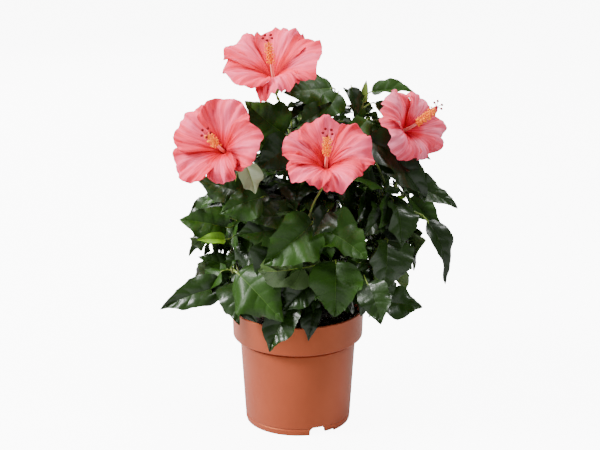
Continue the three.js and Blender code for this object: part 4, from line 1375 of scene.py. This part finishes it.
def map_petals(piece):
    """The map the nodes read, and the map that lays the petals side by side."""
    sheet = (PETAL_ROWS - 1) * (PETAL_COLUMNS - 1)
    row, column = np.divmod(np.arange(sheet), PETAL_COLUMNS - 1)
    steps = np.array([(0, 0), (0, 1), (1, 1), (1, 0)])
    t = (row[:, None] + steps[None, :, 0]) / (PETAL_ROWS - 1)
    s = (column[:, None] + steps[None, :, 1]) / (PETAL_COLUMNS - 1)
    run, spread = [], []
    for tile in range(2 * PETALS):
        is_back = tile % 2 == 1
        order = slice(None) if is_back else slice(None, None, -1)
        tt, ss = t[:, order], s[:, order]
        outward = np.minimum(1, tt + RED_BETWEEN * (1 - np.abs(2 * ss - 1)))
        if is_back:
            outward = PALE_BACK + (1 - PALE_BACK) * outward
        sideways = 0.5 + (ss - 0.5) * (PALE_BREADTH if is_back else 1)
        x = (tile % TILES_ACROSS + TILE_EDGE + TILE_FILL * ss) / TILES_ACROSS
        y = (tile // TILES_ACROSS + TILE_EDGE + TILE_FILL * tt) / TILES_UP
        run.append(np.stack([sideways, outward], -1).reshape(-1, 2))
        spread.append(np.stack([x, y], -1).reshape(-1, 2))
    for name, places in (("petal_run", run), ("OFBake", spread)):
        uv_map = piece.data.uv_layers.new(name=name)
        uv_map.data.foreach_set("uv", np.concatenate(places).ravel())


print("tiles on a flower's map:", 2 * PETALS)

# %% [markdown]
# ## The petals' colour
# Salmon pink, palest along the middle of each petal, with paler streaks that run out to the rim and
# a deep red eye at the throat that reaches out along each petal as a star. The back has no eye. The
# flower on the right gets a lighter pink: painted light, since its petals face away from the key
# lamp. It is laid on as a painter lays thin washes: tones along the petal, tones across it and
# streaks from a stretched noise, each multiplied with the last. A painted image could do it too,
# but it would need all twenty petals painted.

# %% The petals' colour
THROAT_TO_RIM = ((0.0, (156, 0, 44)), (0.1, (200, 0, 58)), (0.27, (216, 0, 66)), (0.35, (234, 40, 92)),
                 (0.46, (246, 106, 138)), (0.75, (245, 110, 142)), (1.0, (242, 98, 128)))
EDGE_TO_EDGE = ((0.0, (242, 128, 146)), (0.3, (250, 172, 190)), (0.5, (255, 226, 236)),
                (0.7, (250, 172, 190)), (1.0, (242, 128, 146)))
STREAKS = ((0.38, (226, 170, 180)), (0.6, (255, 255, 255)))
STREAK_CELLS = (26, 1.6, 1)
# From here outward a petal is pink, so this part is what the right flower's painted light makes paler
PINK_FROM = 0.4
# How far the right flower's pink is taken toward white: painted light, since the key lamp reaches it less
RIGHT_FLOWER_PAINTED_LIGHT = 0.28


def toned(tree, value, stops):
    """A value from 0 to 1 as colours, given as a screen shows them."""
    tones = tree.nodes.new("ShaderNodeValToRGB")
    elements = tones.color_ramp.elements
    elements.remove(elements[1])
    for k, (at, colour) in enumerate(stops):
        stop = elements[0] if k == 0 else elements.new(at)
        stop.position = at
        stop.color = (*linear(*colour), 1)
    tree.links.new(value, tones.inputs["Fac"])
    return tones.outputs["Color"]


def multiplied(tree, a, b):
    """One colour times another."""
    mix = tree.nodes.new("ShaderNodeMix")
    mix.data_type, mix.blend_type = "RGBA", "MULTIPLY"
    mix.inputs["Factor"].default_value = 1
    tree.links.new(a, mix.inputs["A"])
    tree.links.new(b, mix.inputs["B"])
    return mix.outputs["Result"]


def petal_finish(name, paler=0):
    """paler is how far the pink is taken toward white: painted light, for a flower the lamps light less."""
    material, shader, tree = node_material(name, linear(242, 90, 112), 0.6)
    run = tree.nodes.new("ShaderNodeUVMap")
    run.uv_map = "petal_run"
    parts = tree.nodes.new("ShaderNodeSeparateXYZ")
    tree.links.new(run.outputs["UV"], parts.inputs[0])
    stops = [(at, [c + (255 - c) * paler * (at > PINK_FROM) for c in colour]) for at, colour in THROAT_TO_RIM]
    outward = toned(tree, parts.outputs["Y"], stops)
    sideways = toned(tree, parts.outputs["X"], EDGE_TO_EDGE)
    stretch = tree.nodes.new("ShaderNodeMapping")
    stretch.inputs["Scale"].default_value = STREAK_CELLS
    tree.links.new(run.outputs["UV"], stretch.inputs["Vector"])
    grain = grain_of(tree, 1, 3, stretch.outputs["Vector"])
    pink = multiplied(tree, outward, sideways)
    tree.links.new(multiplied(tree, pink, toned(tree, grain, STREAKS)), shader.inputs["Base Color"])
    lift_by(shader, tree, grain, 0.001, 0.7)
    shader.inputs["Subsurface Weight"].default_value = 0.25
    shader.inputs["Subsurface Radius"].default_value = (1.0, 0.35, 0.3)
    shader.inputs["Subsurface Scale"].default_value = 0.003
    shader.inputs["Specular IOR Level"].default_value = 0.2
    return material


pink_petal, painted_light_petal = petal_finish("petal"), petal_finish("petal_painted_light", RIGHT_FLOWER_PAINTED_LIGHT)
for b in blooms:
    pile = Pile()
    # The right flower's lighter pink is painted light
    petal_material = painted_light_petal if b["name"] == "bloom_right" else pink_petal
    for index in range(PETALS):
        add_petal(pile, b, index)
    name = b["name"].replace("bloom", "petals")
    map_petals(make_piece(name, pile, [petal_material], [b["name"]], crease=80))

# %% [markdown]
# ## Column, anthers and stigmas
# From the throat rises a slender column, pale pink below and yellow above. Its outer half bristles
# with some sixty anthers on short threads, and at its tip five red styles part, each with a dark
# red velvety knob. A bristly texture on a tube would do from afar. But the eye goes to them first,
# so each thread, anther and knob is made.

# %% Column, anthers and stigmas
ANTHERS, STYLES = 64, 5
BASE, TIP_HALF, STYLE = 0, 1, 2
COLUMN_STEPS, BASE_STEPS = 16, 8
column_pile, pollen_pile, knob_pile = Pile(), Pile(), Pile()
# Each column's length as a share of its flower's radius, and how far it bows upward
columns = {"bloom_top": (0.76, 0.07), "bloom_left": (0.88, 0.07), "bloom_front": (0.88, 0.07),
           "bloom_right": (1.0, 0.3)}


def column_point(b, share):
    """A point of a column, from 8 mm inside the throat to its tip."""
    long, bow = columns[b["name"]]
    run = b["radius"] * long * share
    return b["throat"] + b["faces"] * (run - 8 * (1 - share)) + UP * (b["radius"] * bow * share * share)


def add_bead(pile, centre, way, long, wide, finish=0, sides=7, rings=5):
    """A small rounded bead, longer along one way."""
    t = np.linspace(0.08, 0.92, rings)
    path = centre + np.outer((t - 0.5) * 2 * long, way)
    add_limb(pile, path, wide * np.sin(math.pi * t) ** 0.7, sides, finish)


def add_anther(b, k, draws):
    """A thread from the column's outer half with a bead of pollen across its tip."""
    share = 0.5 + 0.43 * (k + 0.5) / ANTHERS
    foot = column_point(b, share)
    way = unit(column_point(b, share + 0.05) - foot)
    out = radial(way, GOLDEN_TURN * k + draws.spread(12))
    head = unit(out + way * (0.45 + draws.spread(0.35)))
    tip = foot + head * (3.5 + draws.spread(1.3))
    bow = foot + (tip - foot) * 0.5 + way * 0.2
    add_limb(column_pile, np.array([foot, bow, tip]), [0.24, 0.2, 0.18], 4, TIP_HALF)
    add_bead(pollen_pile, tip, unit(np.cross(head, way) + head * draws.spread(0.5)), 1.15, 0.82, k % 2)


def add_styles(b):
    """Five threads part at the column's tip, each with a velvety knob."""
    tip = column_point(b, 1)
    way = unit(tip - column_point(b, 0.9))
    for i in range(STYLES):
        out = radial(way, 360 / STYLES * i + 10)
        bow = tip + way * 3.0 + out * 1.3
        end = tip + way * 5.0 + out * 4.2
        line = smooth_path([tip - way * 1.5, bow, end], 7)
        add_limb(column_pile, line, np.linspace(0.42, 0.26, 7), 6, STYLE)
        add_bead(knob_pile, end + out * 0.3 + way * 0.3, way, 1.15, 1.35, sides=9, rings=6)


for b in blooms:
    shares = np.linspace(0, 1, COLUMN_STEPS + 1)
    path = np.array([column_point(b, x) for x in shares])
    radii = 1.75 - 0.85 * shares
    add_limb(column_pile, path[:BASE_STEPS + 1], radii[:BASE_STEPS + 1], 10, BASE)
    add_limb(column_pile, path[BASE_STEPS:], radii[BASE_STEPS:], 10, TIP_HALF)
    draws = Draws(b["seed"] * 53)
    for k in range(ANTHERS):
        add_anther(b, k, draws)
    add_styles(b)
print("anthers:", ANTHERS * len(blooms), " stigmas:", STYLES * len(blooms))

# %% [markdown]
# ## The column's finishes
# Pollen is mealy and a stigma is velvety, so both are duller than the smooth column. Velvet could be
# made of hairs, but they would be too fine to see here. A dull, plain colour with a fine grain does
# as well, and the anthers take turns between two golds, so they don't all look alike.

# %% The column's finishes
# Each part's colour, how dull it is and how strongly it mirrors
column_colours = {
    "column_base": ((248, 160, 150), 0.5, 0.5),
    "column_tip": ((246, 138, 2), 0.5, 0.5),
    "style_thread": ((226, 76, 84), 0.5, 0.5),
    "pollen_gold": ((246, 138, 0), 0.85, 0.5),
    "pollen_amber": ((234, 100, 0), 0.85, 0.5),
    "stigma": ((112, 0, 10), 0.85, 0.2),
}
column_finishes = [plain_finish(name, colour, dull, 2500, 0.0002, shine=shine)
                   for name, (colour, dull, shine) in column_colours.items()]
make_piece("columns", column_pile, column_finishes[:3])
make_piece("anthers", pollen_pile, column_finishes[3:5])
make_piece("stigmas", knob_pile, column_finishes[5:])

# %% [markdown]
# ## Calyx
# Each flower sits in a green cup with five pointed lobes, and below it stands a ruff of narrow
# bracts. The same cup, closed to a point, is a bud. Both could be modelled by hand and copied, but
# the cups must meet petals that all differ. So one function turns a row of rings whose rim rises
# and falls five times, open for a cup and shut for a bud.

# %% Calyx
CUP_SIDES, CUP_RINGS = 30, 12
CUP_WALL = 0.5
BRACTS = 7
cup_pile = Pile()


def cup_radius(t, wide, is_open):
    """How wide a cup or a bud is at a share t of its height."""
    if is_open:
        return wide * math.sin(math.pi * min(0.5, 0.15 + 0.75 * t))
    return wide * math.sin(math.pi * (0.12 + 0.88 * t) ** 0.8) ** 0.85


def add_cup(foot, way, length, wide, is_open):
    """A cup under a flower, or a bud."""
    angles = np.linspace(0, 2 * math.pi, CUP_SIDES, endpoint=False)
    lobe = np.abs(np.cos(2.5 * angles)) ** 0.8
    u = radial(way, 0)
    out = np.cos(angles)[:, None] * u + np.sin(angles)[:, None] * np.cross(way, u)
    rings = []
    for t in np.linspace(0, 1, CUP_RINGS):
        high = t * length * ((0.62 + 0.38 * lobe) if is_open else np.ones(CUP_SIDES))
        ridged = 1 + 0.15 * max(0, t - 0.6) * lobe if is_open else 1 + 0.06 * lobe
        radius = max(0.15, cup_radius(t, wide, is_open)) * ridged
        rings.append(foot + np.outer(high, way) + out * radius[:, None])
    points = np.array(rings)
    net = np.arange(CUP_RINGS * CUP_SIDES).reshape(CUP_RINGS, CUP_SIDES)
    faces = ring_faces(net) + [net[0, ::-1].tolist()]
    if is_open:
        inner_net = net + net.size
        rim = np.vstack([net[-1], inner_net[-1]])
        faces += ring_faces(inner_net, flip=True) + [inner_net[0].tolist()] + ring_faces(rim)
        points = np.concatenate([points, points - out * CUP_WALL])
    else:
        faces += [net[-1].tolist()]
    cup_pile.add(points, faces)


def add_ruff(foot, way, length):
    """Narrow bracts that stand out below a cup."""
    for k in range(BRACTS):
        out = radial(way, 360 / BRACTS * k + 9)
        elbow = foot + out * (0.42 * length) + way * (0.3 * length)
        path = smooth_path([foot, elbow, foot + out * (0.62 * length) + way * length], 7)
        add_limb(cup_pile, path, 0.075 * length * np.array([0.9, 1.1, 1.1, 1, 0.8, 0.5, 0.15]), 5)


for b in blooms:
    foot = b["throat"] - b["faces"] * (CALYX_LENGTH * 1.02)
    add_cup(foot, b["faces"], CALYX_LENGTH * 0.96, 4.6, True)
    add_ruff(foot + b["faces"] * 1.2, b["faces"], 9)
print("faces of the cups:", len(cup_pile.faces))

# %% [markdown]
# ## Flower stalks and buds
# A flower stalk is thin, with one swollen joint below the flower, and buds stand at the tips of
# shoots. With a bud on every tip the plant would look as if its flowers were still to come. So there
# is one full bud, on the upper right mass, and small ones on some twigs, where nothing else is in
# their way.

# %% Flower stalks and buds
STALK_RINGS = 26
JOINT_AT = 0.72
flower_stalk_pile = Pile()

for b in blooms:
    share = np.linspace(0, 1, STALK_RINGS)
    swell = 0.5 * np.exp(-((share - JOINT_AT) / 0.03) ** 2)
    line = smooth_path(b["stalk"], STALK_RINGS)
    add_limb(flower_stalk_pile, line, 0.95 + 0.25 * share ** 6 + swell, 9)
for m in masses:
    if m["bud"]:
        tip, axis = along(m["stem"], 1)
        way = unit(axis + UP * 1.2)
        add_cup(tip + way * 0.5, way, m["bud"] * 0.98, 3.5, False)
        add_ruff(tip + way * 0.5, way, 8)
        add_limb(flower_stalk_pile, np.array([tip - axis * 3, tip, tip + way * 1.5]), [0.9, 0.95, 1.3], 8)
    for k, twig in enumerate(m["twigs"]):
        if (m["seed"] + k) % 3 == 0:
            tip, axis = along(twig, 1)
            way = unit(axis + UP * 0.8)
            foot = tip + way * 4
            if in_box(foot + way * 9) and is_free([foot + way * 5], m["name"], 0.5):
                line = np.array([tip - axis, tip + way * 1.5, foot + way * 0.5])
                add_limb(flower_stalk_pile, line, [0.6, 0.6, 0.8], 7)
                add_cup(foot, way, 7.5, 2.0, False)
                add_ruff(foot, way, 5.5)
cup_material = plain_finish("calyx", (126, 158, 66), 0.5, 1200, 0.0003)
flower_stalk_material = plain_finish("flower_stalk", (138, 160, 72), 0.5, 1200, 0.0002)
make_piece("calyxes_and_buds", cup_pile, [cup_material])
make_piece("flower_stalks", flower_stalk_pile, [flower_stalk_material])

# %% [markdown]
# ## Trunk and boughs in bark
# The wood of a young hibiscus is grey-brown, finely ridged along its length, with small corky
# warts and a ring where each leaf once sat. Paint alone leaves a smooth pipe, so the ridges are
# real: each point of each ring is moved in or out by a noise that is drawn out along the limb.

# %% Trunk and boughs in bark
BOUGH_FOOT, BOUGH_TIP = 2.6, 1.95
bark_pile = Pile()


def add_bark_limb(path, radius_at, sides, rings, ridge, seed, collar=0.0):
    """A limb with ridges, warts, a ring every 17 mm and a collar at its foot."""
    line = smooth_path(path, rings)
    run = np.concatenate([[0], np.cumsum(np.linalg.norm(np.diff(line, axis=0), axis=1))])
    radii = np.zeros((rings, sides))
    for i, (point, gone) in enumerate(zip(line, run)):
        radius = radius_at(point, gone / run[-1]) * (1 + collar * math.exp(-gone / 5))
        radius += 0.07 * radius * math.exp(-((gone % 17 - 8) / 1.4) ** 2)
        for j in range(sides):
            a = 2 * math.pi * j / sides
            place = Vector((math.cos(a) * 2.6 + seed, math.sin(a) * 2.6, gone * 0.09))
            wart = Vector((math.cos(a) * 5, math.sin(a) * 5 + seed, gone * 0.55))
            rough = ridge * noise.noise(place) + ridge * 0.6 * noise.noise(place * 2.7)
            radii[i, j] = radius * (1 + rough + 0.5 * ridge * max(0, noise.noise(wart) - 0.35))
    add_limb(bark_pile, line, radii, sides)


def trunk_radius_here(point, share):
    return trunk_radius(max(SOIL_LEVEL, point[2]))


def bough_radius_here(point, share):
    return BOUGH_FOOT + (BOUGH_TIP - BOUGH_FOOT) * share


add_bark_limb(trunk_path, trunk_radius_here, 28, 150, 0.16, 3)
for k, m in enumerate(m for m in masses if "bough" in m):
    add_bark_limb(m["bough"], bough_radius_here, 16, 56, 0.14, 11 + k, 0.5)

bark_material, shader, tree = node_material("bark", linear(112, 92, 68), 0.85)
grain = grain_of(tree, 620, 4)
lift_by(shader, tree, grain, 0.0006)
bark_tone = toned(tree, grain, ((0.32, (72, 56, 40)), (0.68, (142, 124, 96))))
tree.links.new(bark_tone, shader.inputs["Base Color"])
bough_nodes = ["bough_" + name for name in bough_heights]
make_piece("trunk_and_boughs", bark_pile, [bark_material], ["trunk", *bough_nodes])

# %% [markdown]
# ## The pot
# A nursery pot is moulded from thin plastic: a tapering cup with a deep collar that stands proud, a
# fine groove below the collar, a rounded lip, and a foot ring round a raised floor. It could be a
# plain cylinder with a bevel, but then the groove and the lip would be missing, and they catch the
# light. A turned outline gives them all, with many points where it bends and few where it is
# straight.

# %% The pot
POT_HEIGHT, RIM_DROP, RIM_RADIUS, RIM_FOOT, SHOULDER, FOOT = 118, 29.5, 65, 63.9, 57.2, 51.8
WALL, FLOOR, UNDERSIDE = 2, 10.5, 8.4
POT_SIDES = 160
CORNER = 0.9
shelf = POT_HEIGHT - RIM_DROP


def rounded(profile, radius, steps=5):
    """The same outline with its corners rounded."""
    smooth = [profile[0]]
    for before, corner, after in zip(profile, profile[1:], profile[2:]):
        p, c, n = np.array(before, float), np.array(corner, float), np.array(after, float)
        cut = min(radius, 0.45 * np.linalg.norm(p - c), 0.45 * np.linalg.norm(n - c))
        a, b = c + (p - c) / np.linalg.norm(p - c) * cut, c + (n - c) / np.linalg.norm(n - c) * cut
        for t in np.linspace(0, 1, steps):
            smooth.append(tuple(a * (1 - t) ** 2 + c * 2 * t * (1 - t) + b * t * t))
    return smooth + [profile[-1]]


def add_turned(pile, profile, sides):
    """A closed shape turned round the upright axis from an outline that starts and ends on it."""
    inner = [(r, z) for r, z in profile if r > 1e-6]
    angles = np.linspace(0, 2 * math.pi, sides, endpoint=False)
    rings = [[(r * math.cos(a), r * math.sin(a), z) for a in angles] for r, z in inner]
    net = np.arange(len(inner) * sides).reshape(len(inner), sides)
    pile.add(np.array(rings), ring_faces(net) + [net[0, ::-1].tolist(), net[-1].tolist()])


pot_outline = rounded([
    (0, UNDERSIDE), (FOOT - 3.4, UNDERSIDE), (FOOT - 2.8, 0), (FOOT - 0.6, 0), (FOOT, 1.2), (FOOT + 0.4, 5.6),
    (FOOT - 0.3, 6.4), (FOOT + 0.5, 8), (SHOULDER - 0.3, shelf - 4.2), (SHOULDER - 1.3, shelf - 3.6),
    (SHOULDER - 1.3, shelf - 2.6), (SHOULDER, shelf - 1.4), (SHOULDER + 0.2, shelf), (RIM_FOOT - 0.7, shelf),
    (RIM_FOOT, shelf + 0.9), (RIM_RADIUS - 0.2, POT_HEIGHT - 2.2), (RIM_RADIUS, POT_HEIGHT - 1.2),
    (RIM_RADIUS - 1, POT_HEIGHT), (RIM_RADIUS - WALL - 0.4, POT_HEIGHT - 0.6),
    (RIM_FOOT - WALL, shelf + WALL + 1), (SHOULDER - WALL, shelf + WALL - 0.5), (FOOT - WALL, FLOOR),
    (0, FLOOR)], CORNER)
pot_pile = Pile()
add_turned(pot_pile, pot_outline, POT_SIDES)
print("points on the pot's outline:", len(pot_outline))

# %% [markdown]
# ## The pot's plastic
# The plastic is a dusty red under an orange sheen, which is why it looks orange where a lamp
# strikes it and brown in the shade. One orange colour all over looks flat and toylike. So the
# colour beneath is the red of the shade, a little cloudy as moulded plastic is, and the sheen gets
# an orange tint of its own.

# %% The pot's plastic
pot_material, shader, tree = node_material("terracotta_plastic", linear(152, 70, 48), 0.4)
shader.inputs["Specular IOR Level"].default_value = 1
shader.inputs["Specular Tint"].default_value = (*linear(255, 160, 96), 1)
lift_by(shader, tree, grain_of(tree, 1500, 2), 0.00012)
cloud_tone = toned(tree, grain_of(tree, 14, 3), ((0.3, (147, 66, 46)), (0.7, (157, 74, 51))))
tree.links.new(cloud_tone, shader.inputs["Base Color"])
pot_piece = make_piece("pot_moulding", pot_pile, [pot_material], ["pot"], crease=30)

# %% [markdown]
# ## Drain notches
# Notches are cut up into the pot's lower edge, so that water can leave when it stands flat, and
# light shows through them. Beside each one is a low step. Dark patches would only look like them
# from one side, so they are really cut: a bar with the notch's outline is taken away with a
# Boolean, which leaves the same clean edges as the mould does.

# %% Drain notches
NOTCHES, NOTCH_TURN, NOTCH_WIDTH, NOTCH_HEIGHT, NOTCH_RUN = 3, -68, 16, 8, 18
NOTCH_CORNER = 3
STEP_WIDTH, STEP_HEIGHT = 11, 2.4
BELOW = -2


def notch_bar(name, outline, low, high, turn):
    """A straight bar with the given outline, from low to high out along one turn."""
    n = len(outline)
    way = heading(turn, 0)
    side = np.cross(UP, way)
    points = [way * r - side * x + UP * z for r in (low, high) for x, z in outline]
    faces = [list(range(n)), list(range(2 * n - 1, n - 1, -1))]
    faces += [[i, i + n, (i + 1) % n + n, (i + 1) % n] for i in range(n)]
    mesh = bpy.data.meshes.new(name)
    mesh.from_pydata((np.array(points) * MM).tolist(), [], faces)
    return bpy.data.objects.new(name, mesh)


def cut_away(piece, tools):
    for tool in tools:
        bpy.context.scene.collection.objects.link(tool)
        cut = piece.modifiers.new("cut", "BOOLEAN")
        cut.operation, cut.object, cut.solver = "DIFFERENCE", tool, "EXACT"
    bpy.context.view_layer.update()
    cut_mesh = bpy.data.meshes.new_from_object(piece.evaluated_get(bpy.context.evaluated_depsgraph_get()))
    piece.modifiers.clear()
    piece.data = cut_mesh
    for tool in tools:
        bpy.data.objects.remove(tool)


edge = NOTCH_WIDTH / 2
notch_outline = [(edge, BELOW), (edge, NOTCH_HEIGHT - NOTCH_CORNER), (edge - NOTCH_CORNER, NOTCH_HEIGHT),
                 (NOTCH_CORNER - edge, NOTCH_HEIGHT), (-edge, NOTCH_HEIGHT - NOTCH_CORNER),
                 (-edge, STEP_HEIGHT), (-edge - STEP_WIDTH, STEP_HEIGHT), (-edge - STEP_WIDTH, BELOW)]
cut_away(pot_piece, [
    notch_bar(f"notch_{i}", notch_outline, FOOT - NOTCH_RUN, FOOT + 9, NOTCH_TURN + 360 / NOTCHES * i)
    for i in range(NOTCHES)])
print("pot faces after the notches:", len(pot_piece.data.polygons))

# %% [markdown]
# ## The bed of compost
# Between the leaves shows dark peat compost: a lumpy bed, highest halfway between the pot's wall and
# its middle. A bed with bumps painted on looks like rubber. So it is turned like the pot, to fill it
# from the floor up, and its top is then moved by noise.

# %% The bed of compost
BED_SIDES = 120
bed_radius = RIM_FOOT - WALL - GAP


def bed_height(r):
    return SOIL_LEVEL - 1.2 + 1.6 * math.sin(math.pi * (1 - r / bed_radius))


def bed_lift(x, y):
    """Broad lumps with smaller ones on them."""
    broad = noise.noise(Vector((x * 0.09, y * 0.09, 3)))
    return 1.5 * broad + 0.9 * noise.noise(Vector((x * 0.3, y * 0.3, 7)))


bed_outline = [(0, FLOOR + GAP), (FOOT - WALL - 0.5, FLOOR + GAP), (SHOULDER - WALL - 0.5, shelf + WALL),
               (bed_radius - 0.4, shelf + WALL + GAP + 0.8)]
bed_outline += [(r, bed_height(r)) for r in np.linspace(bed_radius, 1, 34)]
bed_pile = Pile()
add_turned(bed_pile, bed_outline, BED_SIDES)
for points in bed_pile.points:
    top = points[:, 2] > SOIL_LEVEL - 4
    points[top, 2] += [bed_lift(x, y) for x, y in points[top, :2]]
peat = plain_finish("compost", (44, 32, 25), 1, 900, 0.0012, detail=5)
make_piece("compost_bed", bed_pile, [peat], ["compost"])

# %% [markdown]
# ## Crumbs on the compost
# On the bed lie crumbs of peat, bits of bark and a few white grains that keep the compost open. A
# noise could roughen the bed instead, but it gives no loose pieces with a shadow of their own. So
# some hundreds of small broken lumps are strewn over it, and none too near the trunk.

# %% Crumbs on the compost
CRUMBS = 620
TRUNK_CLEARANCE = 11
PEAT, BARK_CHIP, WHITE_GRAIN = 0, 1, 2


def add_crumb(pile, centre, size, draws, finish):
    """A small broken lump: a squashed bead with its points pushed about."""
    way = unit(vec(draws.spread(1), draws.spread(1), draws.spread(0.5) + 0.01))
    start = len(pile.points)
    add_bead(pile, centre, way, size * (0.9 + draws.next()), size, finish, sides=5, rings=4)
    pile.points[start] += np.array([[draws.spread(0.3) * size for _ in range(3)] for _ in pile.points[start]])


crumb_pile = Pile()
draws = Draws(90210)
for k in range(CRUMBS):
    r = bed_radius * 0.97 * math.sqrt(draws.next())
    a = 2 * math.pi * draws.next()
    if r < TRUNK_CLEARANCE:
        continue
    x, y = r * math.cos(a), r * math.sin(a)
    z = bed_height(r) + bed_lift(x, y)
    size = 0.6 + 1.3 * draws.next() ** 2
    kind = WHITE_GRAIN if k % 41 == 0 else (PEAT, BARK_CHIP)[k % 2]
    add_crumb(crumb_pile, vec(x, y, z + 0.2 * size), size, draws, kind)
crumb_colours = {"peat_crumb": (52, 38, 29), "bark_chip": (84, 60, 42), "white_grain": (196, 190, 178)}
crumb_materials = [plain_finish(name, colour, 0.95, 1400, 0.0005) for name, colour in crumb_colours.items()]
make_piece("compost_crumbs", crumb_pile, crumb_materials)
